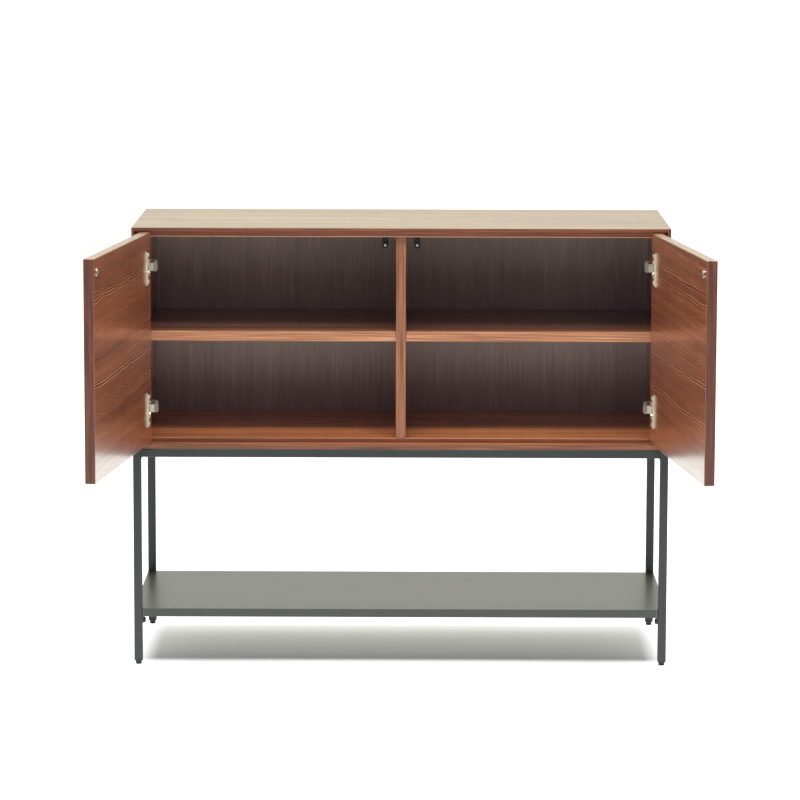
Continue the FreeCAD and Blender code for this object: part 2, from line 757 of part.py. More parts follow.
# Hinges on the cabinet side.
LEVELS = (("lower", "hinge_low"), ("upper", "hinge_high"))
plates = []
plate_screws = []
arm_screws = []
hinge_pins = []
for side, word in SIDES:
    inward = ("+x", "-x")[side > 0]
    outward = ("-x", "+x")[side > 0]

    def across(distance):
        """Width coordinate of a point that stands this far off the side panel's inner face."""
        return "%d * (inner_half - (%s))" % (side, distance)

    def span(near_panel, far):
        ends = (across(near_panel), across(far))
        return ends if side < 0 else (ends[1], ends[0])

    for level, z in LEVELS:
        name = "%s_%s" % (word, level)
        # mounting plate: a bar with a cross wing that takes two screws
        low, high = span("0", "plate")
        bar = doc.addObject("Part::Box", name + "_plate_bar")
        bind_place(bar, "Placement", (low, "plate_start", z + " - plate_width / 2"))
        bind(bar, Length="plate", Width="plate_length", Height="plate_width")
        low, high = span("0", "plate_wing")
        wing = doc.addObject("Part::Box", name + "_plate_wing")
        bind_place(wing, "Placement", (low, "plate_wing_start", z + " - plate_wing_length / 2"))
        bind(wing, Length="plate_wing", Width="plate_wing_width", Height="plate_wing_length")
        solid = join(name + "_plate_blank", bar, wing)
        for i, shift in enumerate((" - plate_screw_pitch / 2", " + plate_screw_pitch / 2")):
            seat = (across("plate_wing"), "plate_wing_start + plate_wing_width / 2", z + shift)
            hole = cylinder("%s_plate_hole_%d" % (name, i), along(seat, inward, "overrun"), TURNS[outward],
                            "plate_screw_radius + hole_slack", "plate_wing + 2 * overrun")
            cut = doc.addObject("Part::Cut", "%s_plate_cut_%d" % (name, i))
            cut.Base = solid
            cut.Tool = hole
            solid = cut
            plate_screws.append(screw("%s_plate_screw_%d" % (name, i), seat, inward, "plate"))
            primitive(sides[word], "SubtractiveCylinder", "%s_plate_board_hole_%d" % (name, i),
                      along(seat, inward, "overrun"), TURNS[outward],
                      Radius="plate_screw_radius + hole_slack",
                      Height="plate_screw_length + hole_slack + overrun")
        plates.append(solid)

        # arm: a folded channel, high over the door edge and low on the plate
        label = name + "_hinge_arm"
        arm = new_body(label)
        arm_low = z + " - arm_width / 2"
        sketch = sketch_on(arm, "XY_Plane", label + "_profile", arm_low)
        bridge_end = "arm_front + arm_bridge"
        slope_end = "arm_front + arm_bridge + arm_slope"
        tail_end = "arm_front + arm_bridge + arm_slope + arm_tail"
        outline(sketch, [
            (across("arm_top"), "nose_depth"),
            (across("arm_top"), bridge_end),
            (across("arm_low"), slope_end),
            (across("arm_low"), tail_end),
            (across("plate"), tail_end),
            (across("plate"), slope_end + " - arm_sheet"),
            (across("nose_rise - nose_radius"), bridge_end + " - arm_sheet"),
            (across("nose_rise - nose_radius"), "nose_depth"),
        ])
        pad(arm, sketch, label + "_blank", "arm_width")
        # both ears of the channel end in a round nose about the link's pin
        nose = "%d * nose_x" % side
        primitive(arm, "AdditiveCylinder", label + "_nose", (nose, "nose_depth", arm_low),
                  Radius="nose_radius", Height="arm_width")
        sketch = sketch_on(arm, "XY_Plane", label + "_channel", arm_low + " + arm_sheet")
        outline(sketch, [
            (across("arm_top + overrun"), "-overrun"),
            (across("arm_top + overrun"), "arm_front"),
            (across("arm_top - arm_sheet"), "arm_front"),
            (across("arm_top - arm_sheet"), bridge_end + " - arm_sheet / 2"),
            (across("arm_low - arm_sheet"), slope_end + " - arm_sheet / 2"),
            (across("arm_low - arm_sheet"), tail_end + " + overrun"),
            (across("plate - overrun"), tail_end + " + overrun"),
            (across("plate - overrun"), "-overrun"),
        ])
        solid_arm = arm.Tip
        hollow = arm.newObject("PartDesign::Pocket", label + "_hollow")
        hollow.Profile = sketch
        hollow.Reversed = True
        bind(hollow, Length="arm_width - 2 * arm_sheet")
        arm.Tip = hollow
        doc.recompute()
        if hollow.Shape.Volume > solid_arm.Shape.Volume * HOLLOW_SHARE:
            raise RuntimeError(label + " wasn't hollowed")
        primitive(arm, "SubtractiveCylinder", label + "_pin_hole",
                  (nose, "nose_depth", arm_low + " - overrun"),
                  Radius="pin_radius + pin_slack", Height="arm_width + 2 * overrun")
        screw_y = "plate_start + arm_screw_setback"
        primitive(arm, "SubtractiveCylinder", label + "_screw_hole",
                  (across("arm_low + overrun"), screw_y, z), TURNS[outward],
                  Radius="arm_screw_radius + hole_slack", Height="arm_low - plate + overrun")
        stand(arm)
        head = cylinder(name + "_arm_screw_head", (across("arm_low"), screw_y, z), TURNS[inward],
                        "arm_head_radius", "arm_head")
        shank = cylinder(name + "_arm_screw_shank", (across("arm_low"), screw_y, z), TURNS[outward],
                         "arm_screw_radius", "arm_low - plate")
        arm_screws.append(join(name + "_arm_screw", head, shank))
        hinge_pins.append(cylinder(name + "_hinge_pin", (nose, "nose_depth", arm_low), ALONG_Z,
                                   "pin_radius", "arm_width"))
stand(group("hinge_mounting_plates", plates))
stand(group("hinge_plate_screws", plate_screws))
stand(group("hinge_arm_screws", arm_screws))
stand(group("hinge_pins", hinge_pins))

# Hinge links: bent plates that swing on the pin between the arm's ears and reach into the cup.
for side, word in SIDES:
    flip = "%d * " % (-side)
    link_turn = "link_open_angle" if side < 0 else "%d - link_open_angle" % HALF_TURN
    for level, z in LEVELS:
        label = "%s_%s_hinge_link" % (word, level)
        body = new_body(label)
        low = z + " - link_width / 2"
        sketch = sketch_on(body, "XY_Plane", label + "_profile", low)
        inner = "link_bulge - link_sheet / 2"
        outer = "link_bulge + link_sheet / 2"
        outline(sketch, [
            ("-link_eye_radius", flip + "0"),
            ("link_sheet / 2", flip + "0"),
            ("link_sheet / 2", flip + "(" + inner + ")"),
            ("link_crest - link_sheet / 2", flip + "(" + inner + ")"),
            ("link_length - link_sheet / 2", flip + "(-link_sheet / 2)"),
            ("link_length + link_sheet / 2", flip + "0"),
            ("link_crest", flip + "(" + outer + ")"),
            ("link_sheet - link_eye_radius", flip + "(" + outer + ")"),
            ("-link_eye_radius", flip + "(" + inner + ")"),
        ])
        pad(body, sketch, label + "_plate", "link_width")
        primitive(body, "AdditiveCylinder", label + "_eye", ("0", "0", low),
                  Radius="link_eye_radius", Height="link_width")
        primitive(body, "SubtractiveCylinder", label + "_bore", ("0", "0", low + " - overrun"),
                  Radius="pin_radius + pin_slack", Height="link_width + 2 * overrun")
        stand(body, ("%d * nose_x" % side, STAND + " + nose_depth", "0"), link_turn)

# Doors and what they carry, drawn shut about the pivot, then swung open.
latch_screws = []
for side, word in SIDES:
    flip = "%d * " % (-side)
    post = ("%d * pivot_x" % side, STAND, "0")
    turn = "%d * open_angle" % side

    def ends(near_hinge, far):
        pair = (flip + "(" + near_hinge + ")", flip + "(" + far + ")")
        return pair if side < 0 else (pair[1], pair[0])

    low, high = ends("-pivot_inset", "door_free")
    door = board(word + "_door", (low, "0", "door_low"), (high, "door_board", "door_high"))
    soften(door, word + "_door_bevel", lambda a, b: True, "door_bevel")
    cups = []
    cup_screws = []
    for level, z in LEVELS:
        name = "%s_%s" % (word, level)
        label = name + "_hinge_cup"
        cup_x = flip + "cup_x"
        cup = new_body(label)
        primitive(cup, "AdditiveCylinder", label + "_bowl", (cup_x, "cup_low", z), ALONG_Y,
                  Radius="cup_radius", Height="cup_depth")
        primitive(cup, "AdditiveCylinder", label + "_flange", (cup_x, "door_board", z), ALONG_Y,
                  Radius="flange_radius", Height="flange")
        low, high = ends("cup_x - flange_radius - overrun", "cup_x - flange_cut")
        box_in(cup, "SubtractiveBox", label + "_flange_cut",
               (low, "door_board", z + " - flange_radius"),
               (high, "door_board + flange + overrun", z + " + flange_radius"))
        low, high = ends("wing_x - wing_width / 2", "wing_x + wing_width / 2")
        box_in(cup, "AdditiveBox", label + "_wings",
               (low, "door_board", z + " - wing_length / 2"),
               (high, "door_board + flange", z + " + wing_length / 2"))
        # a raised rim along the edge that lies farthest from the hinge side
        low, high = ends("wing_x + wing_width / 2 - cup_rim_width", "wing_x + wing_width / 2")
        box_in(cup, "AdditiveBox", label + "_rim",
               (low, "door_board", z + " - wing_length / 2 + cup_rim_inset"),
               (high, "door_board + flange + cup_rim", z + " + wing_length / 2 - cup_rim_inset"))
        primitive(cup, "SubtractiveCylinder", label + "_hollow", (cup_x, "cup_low + cup_floor", z), ALONG_Y,
                  Radius="cup_radius - cup_wall", Height="cup_depth + flange + cup_rim + overrun")
        primitive(door, "SubtractiveCylinder", label + "_bore", (cup_x, "cup_low - hole_slack", z), ALONG_Y,
                  Radius="cup_radius + hole_slack", Height="cup_depth + hole_slack + overrun")
        for i, shift in enumerate((" - cup_screw_pitch / 2", " + cup_screw_pitch / 2")):
            seat = (flip + "cup_screw_x", "door_board + flange", z + shift)
            cup_screws.append(screw("%s_cup_screw_%d" % (name, i), seat, "+y", "cup"))
            for body in (cup, door):
                primitive(body, "SubtractiveCylinder", "%s_%s_screw_hole_%d" % (body.Name, level, i),
                          along(seat, "+y", "overrun"), BACK_Y,
                          Radius="cup_screw_radius + hole_slack",
                          Height="cup_screw_length + hole_slack + overrun")
        soften(cup, label + "_ears",
               lambda a, b: abs(abs(a.y - b.y) - measure("flange")) < HAIR and
               abs(abs(a.z - measure(z)) - measure("wing_length / 2")) < HAIR,
               "wing_corner")
        stand(cup, post, turn)
    stand(group(word + "_cup_screws", cup_screws), post, turn)

    # round strike plate, in line with the latch when the door is shut
    strike_x = flip + "(pivot_x - latch_offset)"
    label = word + "_strike_plate"
    plate_body = new_body(label)
    primitive(plate_body, "AdditiveCylinder", label + "_disc", (strike_x, "door_board", "latch_z"), ALONG_Y,
              Radius="strike_radius", Height="strike")
    for i, shift in enumerate((" - strike_hole_pitch / 2", " + strike_hole_pitch / 2")):
        primitive(plate_body, "SubtractiveCylinder", "%s_hole_%d" % (label, i),
                  (strike_x, "door_board - overrun", "latch_z" + shift), ALONG_Y,
                  Radius="strike_hole_radius", Height="strike + 2 * overrun")
    seat = (strike_x, "door_board + strike", "latch_z")
    for body in (plate_body, door):
        primitive(body, "SubtractiveCylinder", body.Name + "_strike_screw_hole",
                  along(seat, "+y", "overrun"), BACK_Y,
                  Radius="strike_screw_radius + hole_slack",
                  Height="strike_screw_length + hole_slack + overrun")
    stand(plate_body, post, turn)
    stand(door, post, turn)
    strike_screw = screw(word + "_strike_screw", seat, "+y", "strike")
    stand(strike_screw, post, turn)

    # Touch latch: housing under the top board, plunger and magnet tip.
    latch_x = "%d * latch_offset" % side
    label = word + "_latch_housing"
    housing = new_body(label)
    primitive(housing, "AdditiveCylinder", label + "_barrel", (latch_x, "latch_front", "latch_z"), ALONG_Y,
              Radius="latch_radius", Height="latch_length")
    neck_start = "latch_front + latch_neck_setback"
    box_in(housing, "AdditiveBox", label + "_neck",
           (latch_x + " - latch_neck / 2", neck_start, "latch_z"),
           (latch_x + " + latch_neck / 2", neck_start + " + latch_neck_length", "ceiling"))
    inward = "%d * " % (-side)
    pair = (latch_x, latch_x + " + " + inward + "latch_flange_reach")
    low, high = pair if side < 0 else (pair[1], pair[0])
    box_in(housing, "AdditiveBox", label + "_flange",
           (low, neck_start, "ceiling - latch_flange"),
           (high, neck_start + " + latch_neck_length", "ceiling"))
    primitive(housing, "SubtractiveCylinder", label + "_bore",
              (latch_x, "latch_front - overrun", "latch_z"), ALONG_Y,
              Radius="plunger_radius + plunger_slack", Height="latch_bore + overrun")
    for i, shift in enumerate((" - latch_screw_pitch / 2", " + latch_screw_pitch / 2")):
        seat = (latch_x + " + " + inward + "latch_screw_reach",
                neck_start + " + latch_neck_length / 2" + shift, "ceiling - latch_flange")
        latch_screws.append(screw("%s_latch_screw_%d" % (word, i), seat, "-z", "latch"))
        for body in (housing, top):
            primitive(body, "SubtractiveCylinder", "%s_%s_latch_screw_hole_%d" % (body.Name, word, i),
                      along(seat, "-z", "overrun"), ALONG_Z,
                      Radius="latch_screw_radius + hole_slack",
                      Height="latch_screw_length + hole_slack + overrun")
    stand(housing)
    tip_y = "latch_front - plunger_reach"
    plunger = cylinder(word + "_latch_plunger", (latch_x, STAND + " + " + tip_y, "latch_z"), ALONG_Y,
                       "plunger_radius", "plunger_length")
    subparts.append(plunger)
    magnet = cylinder(word + "_latch_magnet", (latch_x, STAND + " + " + tip_y, "latch_z"), BACK_Y,
                      "magnet_radius", "magnet")
    subparts.append(magnet)

stand(group("latch_screws", latch_screws))

# Softened front edges of the boards.


def runs_along(axis, points, a, b):
    """True for an edge along the axis whose other two coordinates are one of the given pairs."""
    k = "xyz".index(axis)
    u, v = [i for i in range(3) if i != k]
    if max(abs(a[u] - b[u]), abs(a[v] - b[v])) > HAIR or abs(a[k] - b[k]) < HAIR:
        return False
    return any(abs(a[u] - measure(p)) < HAIR and abs(a[v] - measure(q)) < HAIR for p, q in points)


top_pairs = (("0", "overall_height"), ("0", "overall_height - top_lip"), ("rebate", "ceiling"))
soften(top, "top_front_bevel", lambda a, b: runs_along("x", top_pairs, a, b), "edge_bevel")
bottom_pairs = (("0", "frame_height"), ("0", "frame_height + bottom_lip"), ("rebate", "floor_top"))
soften(bottom, "bottom_front_bevel", lambda a, b: runs_along("x", bottom_pairs, a, b), "edge_bevel")
for side, word in SIDES:
    side_pairs = (("%d * half_width" % side, "0"), ("%d * (half_width - side_lip)" % side, "0"),
                  ("%d * inner_half" % side, "rebate"))
    soften(sides[word], word + "_front_bevel",
           lambda a, b: runs_along("z", side_pairs, a, b), "edge_bevel")
    shelf_pairs = (("rebate", "shelf_low"), ("rebate", "shelf_low + shelf_board"))
    soften(shelves[word], word + "_shelf_bevel",
           lambda a, b: runs_along("x", shelf_pairs, a, b), "edge_bevel")
divider_pairs = (("-board / 2", "rebate"), ("board / 2", "rebate"))
soften(divider, "divider_bevel", lambda a, b: runs_along("z", divider_pairs, a, b), "edge_bevel")

for body in (top, bottom, sides["left"], sides["right"], divider, back, shelves["left"], shelves["right"]):
    stand(body)

# Every object must be sound before anything is written.
doc.recompute()
bad = [o.Name for o in doc.Objects if "Invalid" in o.State or "Error" in o.State]
if bad:
    raise RuntimeError("failed objects: " + ", ".join(bad))
os.makedirs("parts", exist_ok=True)
labels = set()
for thing in subparts:
    if thing.Label in labels:
        raise RuntimeError("two sub-parts share a label: " + thing.Label)
    labels.add(thing.Label)
    shape = thing.Shape
    if shape.isNull() or not shape.isValid() or not shape.Solids:
        raise RuntimeError("bad shape: " + thing.Label)
for thing in subparts:
    thing.Shape.exportStep(os.path.join("parts", thing.Label + ".step"))
print(len(subparts), "sub-parts written")
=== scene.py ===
import json
import math

import bmesh
import bpy
from mathutils import Matrix, Vector


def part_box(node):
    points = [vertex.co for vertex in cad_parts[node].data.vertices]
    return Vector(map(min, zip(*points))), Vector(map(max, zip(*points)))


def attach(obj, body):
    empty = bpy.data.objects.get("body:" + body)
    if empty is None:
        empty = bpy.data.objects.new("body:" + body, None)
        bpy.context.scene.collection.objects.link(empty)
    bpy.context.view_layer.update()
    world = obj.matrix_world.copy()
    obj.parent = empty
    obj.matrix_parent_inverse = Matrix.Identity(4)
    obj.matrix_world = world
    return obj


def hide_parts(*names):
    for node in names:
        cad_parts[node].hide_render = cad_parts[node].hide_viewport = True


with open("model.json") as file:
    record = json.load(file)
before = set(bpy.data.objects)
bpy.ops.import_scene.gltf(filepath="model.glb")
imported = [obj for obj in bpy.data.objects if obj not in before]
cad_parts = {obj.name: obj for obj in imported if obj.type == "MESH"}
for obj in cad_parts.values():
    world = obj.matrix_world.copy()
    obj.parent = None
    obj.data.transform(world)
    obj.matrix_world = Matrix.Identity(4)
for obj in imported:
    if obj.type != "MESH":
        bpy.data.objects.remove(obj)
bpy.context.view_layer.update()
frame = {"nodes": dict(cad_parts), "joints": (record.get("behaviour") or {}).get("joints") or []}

# Sideboard in walnut veneer on a dark steel frame, both doors open.
# Metres. X runs along the width, Y from front to back, Z up from the floor.

nodes = frame["nodes"]

# Places that several pieces share, read from the frame.
case_low, case_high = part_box("top_panel")
CASE_FRONT = case_low.y
CASE_TOP = case_high.z
CASE_HALF = case_high.x
CASE_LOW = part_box("bottom_panel")[0].z
divider_low, divider_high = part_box("centre_divider")
REBATE = divider_low.y - CASE_FRONT
CASE_FLOOR = divider_low.z
CEILING = divider_high.z
door_joint = [joint for joint in frame["joints"] if joint["name"] == "right_door_hinge"][0]
DOOR_PIVOT_X = door_joint["pos_m"][0]
DOOR_TURN = math.radians(-door_joint["range_deg"][0])
SIDES = (("left", -1), ("right", 1))


def pivot(side):
    return Vector((side * DOOR_PIVOT_X, CASE_FRONT, 0))


def door_turn(side):
    """The turn that carries a shut door about its pivot to where it stands open."""
    return Matrix.Translation(pivot(side)) @ Matrix.Rotation(side * DOOR_TURN, 4, "Z")


def shut_points(name, side):
    """The points of a piece of a door, from the pivot, as if the door were shut."""
    back = door_turn(side).inverted()
    return [back @ vertex.co for vertex in nodes[name].data.vertices]


# How far a door reaches past its pivot, towards the case side and towards the middle.
door_reach = [point.x for point in shut_points("left_door", -1)]
DOOR_START = min(door_reach)
DOOR_END = max(door_reach)
DOOR_BOARD = max(point.y for point in shut_points("left_door", -1))


# Camera

LENS_MM = 165.71
SENSOR_MM = 36
# The camera sees what lies between these distances.
SEEN_FROM = 0.1
SEEN_TO = 100
CAMERA_SIDEWAYS = 0.0186
CAMERA_DISTANCE = 6.5858
CAMERA_HEIGHT = 1.4359
# In degrees: up from looking straight down, a tilt, and a turn to the left.
CAMERA_TURNS = (81.818, -0.151, 0.195)


def make_camera():
    data = bpy.data.cameras.new("camera")
    data.lens = LENS_MM
    data.sensor_width = SENSOR_MM
    data.clip_start = SEEN_FROM
    data.clip_end = SEEN_TO
    camera = bpy.data.objects.new("camera", data)
    camera.location = (CAMERA_SIDEWAYS, CASE_FRONT - CAMERA_DISTANCE, CAMERA_HEIGHT)
    camera.rotation_euler = [math.radians(turn) for turn in CAMERA_TURNS]
    bpy.context.collection.objects.link(camera)
    bpy.context.scene.camera = camera


# Shader arithmetic

# How softly a mask ends, to each side of its limit.
MASK_EDGE = 0.0001


class Link:
    """One value of a shading. Plain arithmetic on it adds the nodes that it needs."""

    def __init__(self, shading, socket):
        self.shading = shading
        self.socket = socket

    def math(self, operation, first, second=0.0):
        return self.shading.node("ShaderNodeMath", {"operation": operation}, {0: first, 1: second})

    def __add__(self, other):
        return self.math("ADD", self, other)

    def __radd__(self, other):
        return self.math("ADD", other, self)

    def __sub__(self, other):
        return self.math("SUBTRACT", self, other)

    def __rsub__(self, other):
        return self.math("SUBTRACT", other, self)

    def __mul__(self, other):
        return self.math("MULTIPLY", self, other)

    def __rmul__(self, other):
        return self.math("MULTIPLY", other, self)

    def __truediv__(self, other):
        return self.math("DIVIDE", self, other)

    def __pow__(self, other):
        return self.math("POWER", self, other)

    def absolute(self):
        return self.math("ABSOLUTE", self)

    def cosine(self):
        return self.math("COSINE", self)

    def larger(self, other):
        return self.math("MAXIMUM", self, other)

    def over(self, limit):
        """1 above a limit and 0 below it."""
        return self.math("GREATER_THAN", self, limit)

    def swing(self, share):
        """A pattern that runs from 0 to 1, moved to swing about zero, times a share."""
        return (self - 0.5) * share

    def level(self, low, high, to_low=0.0, to_high=1.0):
        """The value carried from one span to another, held at both ends."""
        return self.shading.node("ShaderNodeMapRange", {"clamp": True}, {
            "Value": self, "From Min": low, "From Max": high, "To Min": to_low, "To Max": to_high})

    def within(self, middle, half):
        """1 within a distance of a place and 0 outside it."""
        return (self - middle).absolute().level(half - MASK_EDGE, half + MASK_EDGE, 1.0, 0.0)

    def ramp(self, stops, colours):
        return self.shading.node("ShaderNodeValToRGB", {"stops": zip(stops, colours)}, {0: self})


class Shading:
    """The nodes of a finish or of the light around, added from plain values and links."""

    def __init__(self, tree):
        self.tree = tree
        tree.nodes.clear()

    def node(self, kind, settings=None, sockets=None, output=0):
        new = self.tree.nodes.new(kind)
        for name, value in (settings or {}).items():
            if name == "stops":
                self.set_stops(new.color_ramp, list(value))
            else:
                setattr(new, name, value)
        for name, value in (sockets or {}).items():
            self.feed(new.inputs[name], value)
        return Link(self, new.outputs[output])

    def set_stops(self, ramp, stops):
        while len(ramp.elements) < len(stops):
            ramp.elements.new(1)
        for element, (position, colour) in zip(ramp.elements, stops):
            element.position = position
            element.color = (*colour, 1)

    def feed(self, socket, value):
        if isinstance(value, Link):
            self.tree.links.new(value.socket, socket)
        elif isinstance(value, tuple) and len(value) == 3 and socket.type == "RGBA":
            socket.default_value = (*value, 1)
        else:
            socket.default_value = value

    def outputs(self, link, *names):
        """Several outputs of the node that a link comes from."""
        return [Link(self, link.socket.node.outputs[name]) for name in names]

    def show(self, kind, shader):
        """Ends the nodes in an output of a kind."""
        self.feed(self.tree.nodes.new(kind).inputs["Surface"], shader)

    def split(self, vector):
        return self.outputs(self.node("ShaderNodeSeparateXYZ", sockets={0: vector}), 0, 1, 2)

    def join(self, x, y, z):
        return self.node("ShaderNodeCombineXYZ", sockets={0: x, 1: y, 2: z})

    def noise(self, vector, scale=1.0, detail=2.0, roughness=0.5):
        return self.node("ShaderNodeTexNoise", sockets={
            "Vector": vector, "Scale": scale, "Detail": detail, "Roughness": roughness})

    def mix(self, share, first, second):
        return self.node("ShaderNodeMix", {"data_type": "RGBA"}, {0: share, 6: first, 7: second},
                         output=2)


class Finish(Shading):
    """A material with one principled shader."""

    def __init__(self, name):
        self.material = bpy.data.materials.new(name)
        self.material.use_nodes = True
        super().__init__(self.material.node_tree)
        shader = self.node("ShaderNodeBsdfPrincipled")
        self.shader = shader.socket.node
        self.show("ShaderNodeOutputMaterial", shader)

    def set(self, **values):
        for name, value in values.items():
            self.feed(self.shader.inputs[name.replace("_", " ")], value)

    def place(self, centre=(0, 0, 0), turn=0.0):
        """The point on the piece, seen from a centre and turned back about the upright axis."""
        point = self.node("ShaderNodeTexCoord", output="Object")
        return self.node("ShaderNodeMapping", {"vector_type": "TEXTURE"},
                         {"Vector": point, "Location": centre, "Rotation": (0, 0, turn)})

    def bump(self, height, distance, strength):
        self.set(Normal=self.node("ShaderNodeBump", sockets={
            "Strength": strength, "Distance": distance, "Height": height}))


def rgb(red, green, blue):
    """A colour given as it looks on screen, from 0 to 255, as linear light."""
    def linear(level):
        share = level / 255
        return share / 12.92 if share <= 0.04045 else ((share + 0.055) / 1.055) ** 2.4
    return (linear(red), linear(green), linear(blue))


def put(material, *names):
    for name in names:
        slots = nodes[name].data.materials
        if len(slots) == 0:
            slots.append(material)
        for slot in nodes[name].material_slots:
            slot.link = "OBJECT"
            slot.material = material


# Wood

# Four tones of veneer, from its darkest line to its palest band.
TONE_STOPS = (0.12, 0.4, 0.62, 0.92)
FACE_TONES = (rgb(83, 40, 23), rgb(141, 77, 47), rgb(167, 97, 61), rgb(219, 153, 108))
# Paler, yellower tones for the top face and a door's top edge: painted sheen of light glancing off
# them.
SHEEN_TOP_TONES = (rgb(106, 78, 44), rgb(142, 108, 66), rgb(162, 126, 80), rgb(184, 148, 100))
# Brighter tones for the case's floor and the front strip of each shelf: painted light where light from
# the front falls.
LIT_FLOOR_TONES = (rgb(150, 80, 44), rgb(205, 122, 69), rgb(228, 144, 83), rgb(242, 170, 108))
# Darker tones for the shelves: painted shade inside the case.
SHADE_TONES = (rgb(72, 42, 33), rgb(98, 62, 48), rgb(114, 75, 59), rgb(132, 91, 74))
# Darker tones for the step behind each lip, darker still on the bottom board: painted shade under the
# lip.
REBATE_SHADE_TONES = (rgb(108, 58, 36), rgb(128, 72, 45), rgb(142, 83, 52), rgb(158, 97, 64))
LOW_REBATE_SHADE_TONES = (rgb(84, 42, 26), rgb(104, 56, 35), rgb(116, 65, 41), rgb(132, 78, 50))
# A pale tone along the lower edge of the top board's step: a painted highlight.
STEP_HIGHLIGHT_TONES = (rgb(208, 164, 138),) * 4
EDGE_TONES = (rgb(74, 36, 21), rgb(104, 55, 34), rgb(122, 69, 43), rgb(148, 93, 63))
LOW_EDGE_TONES = (rgb(78, 41, 24), rgb(110, 63, 38), rgb(127, 76, 47), rgb(156, 103, 67))
SHELF_EDGE_TONES = (rgb(118, 69, 44), rgb(158, 104, 71), rgb(178, 123, 87), rgb(206, 154, 116))
DIVIDER_EDGE_TONES = (rgb(100, 57, 36), rgb(134, 84, 54), rgb(152, 98, 65), rgb(178, 124, 92))
DOOR_EDGE_TONES = (rgb(72, 36, 23), rgb(83, 43, 28), rgb(94, 50, 33), rgb(107, 60, 40))
LINE_TONE = rgb(52, 26, 18)

# Three tones of the back panel: darker and cooler low in a compartment as painted shade, lighter and
# warmer high in it as painted light, and walnut on the rear face. The inner face is painted paler
# overall than the rear, as light.
BACK_STOPS = (0.15, 0.5, 0.85)
SHADED_BACK_TONES = (rgb(110, 97, 104), rgb(152, 139, 147), rgb(184, 171, 178))
LIT_BACK_TONES = (rgb(132, 114, 103), rgb(180, 159, 142), rgb(216, 195, 173))
REAR_TONES = (rgb(78, 50, 33), rgb(110, 73, 50), rgb(142, 100, 72))

# A log where no other is given: its heart from the pattern's centre, its taper and its sway.
HEART = (0.1, -0.09)
SLOPE = 0.06
SWAY = 0.05
# The sway of the log's short waves, and the share of all its sway that also goes into its depth.
SHORT_SWAY = 0.005
DEEP_SWAY_SHARE = 0.6
# The log of a side board has its heart this far in from the board's outer face.
SIDE_HEART_INSET = 0.08

# Waves of the veneer: cells to a metre along the grain and across it, and fineness.
LONG_WAVE = (2.4, 7.0, 2.0)
SHORT_WAVE = (11.0, 14.0, 1.0)
CLOUD = (2.0, 4.0, 2.0)
RIPPLE = (42.0, 5.0, 1.0)

# Growth rings: cells to a metre out from the heart, fineness, and cells to a metre along.
BROAD_BANDS = (26.0, 2.0, 0.6)
BANDS = (85.0, 5.0, 0.6)
THIN_LINES = (300.0, 3.0, 1.5)
BACK_BANDS = (60.0, 3.0, 0.6)

# Streaks: length, width and fineness.
FIBRES = (0.1, 0.002, 3.0)
PORES = (0.016, 0.0008, 1.0)
BACK_FIBRES = (0.09, 0.0016, 3.0)
BACK_STRIPES = (0.5, 0.006, 2.0)

# Streak lengths along x, y and z on a level edge, an upright edge and a door's edges.
LEVEL_STREAKS = (0.16, 0.004, 0.0026)
UPRIGHT_STREAKS = (0.0026, 0.004, 0.16)
DOOR_STREAKS = (0.05, 0.004, 0.09)

# The part of a pattern's run that counts: pores, dark lines and pale lines.
PORE_RUN = (0.58, 0.7)
DARK_LINE_RUN = (0.58, 0.68)
PALE_LINE_RUN = (0.42, 0.32)

# Veins: half their width, the distance between their lines, and how far they wander and tremble.
VEIN_REACH = 0.009
VEIN_LINES_APART = 0.0056
VEIN_WANDER = 0.014
VEIN_TREMBLE = 0.004
WANDER_CELLS = 4.0
TREMBLE_CELLS = 55.0
# These carry each height into a part of the noise of its own.
WANDER_SEED = 300.0
TREMBLE_SEED = 90.0
# A vein is faint where its wandering noise is low.
VEIN_FADE = (0.3, 0.55, 0.4, 1.0)

# How far each pattern moves the tone of the veneer, of its streaked edges and of the back panel.
BROAD_SHARE = 0.6
BAND_SHARE = 1.0
CLOUD_SHARE = 0.5
FIBRE_SHARE = 0.75
RIPPLE_SHARE = 0.14
PORE_SHARE = 0.2
DARK_LINE_SHARE = 0.2
PALE_LINE_SHARE = 0.1
EDGE_STREAK_SHARE = 2.0
EDGE_CLOUD_SHARE = 0.3
EDGE_PORE_SHARE = 0.1
BACK_FIBRE_SHARE = 0.8
BACK_STRIPE_SHARE = 0.25
BACK_BAND_SHARE = 0.3

# The share of the gloss that a pore takes away, and how deep the grain is felt.
PORE_DULLING = 0.3
GRAIN_DEPTH = 0.00008


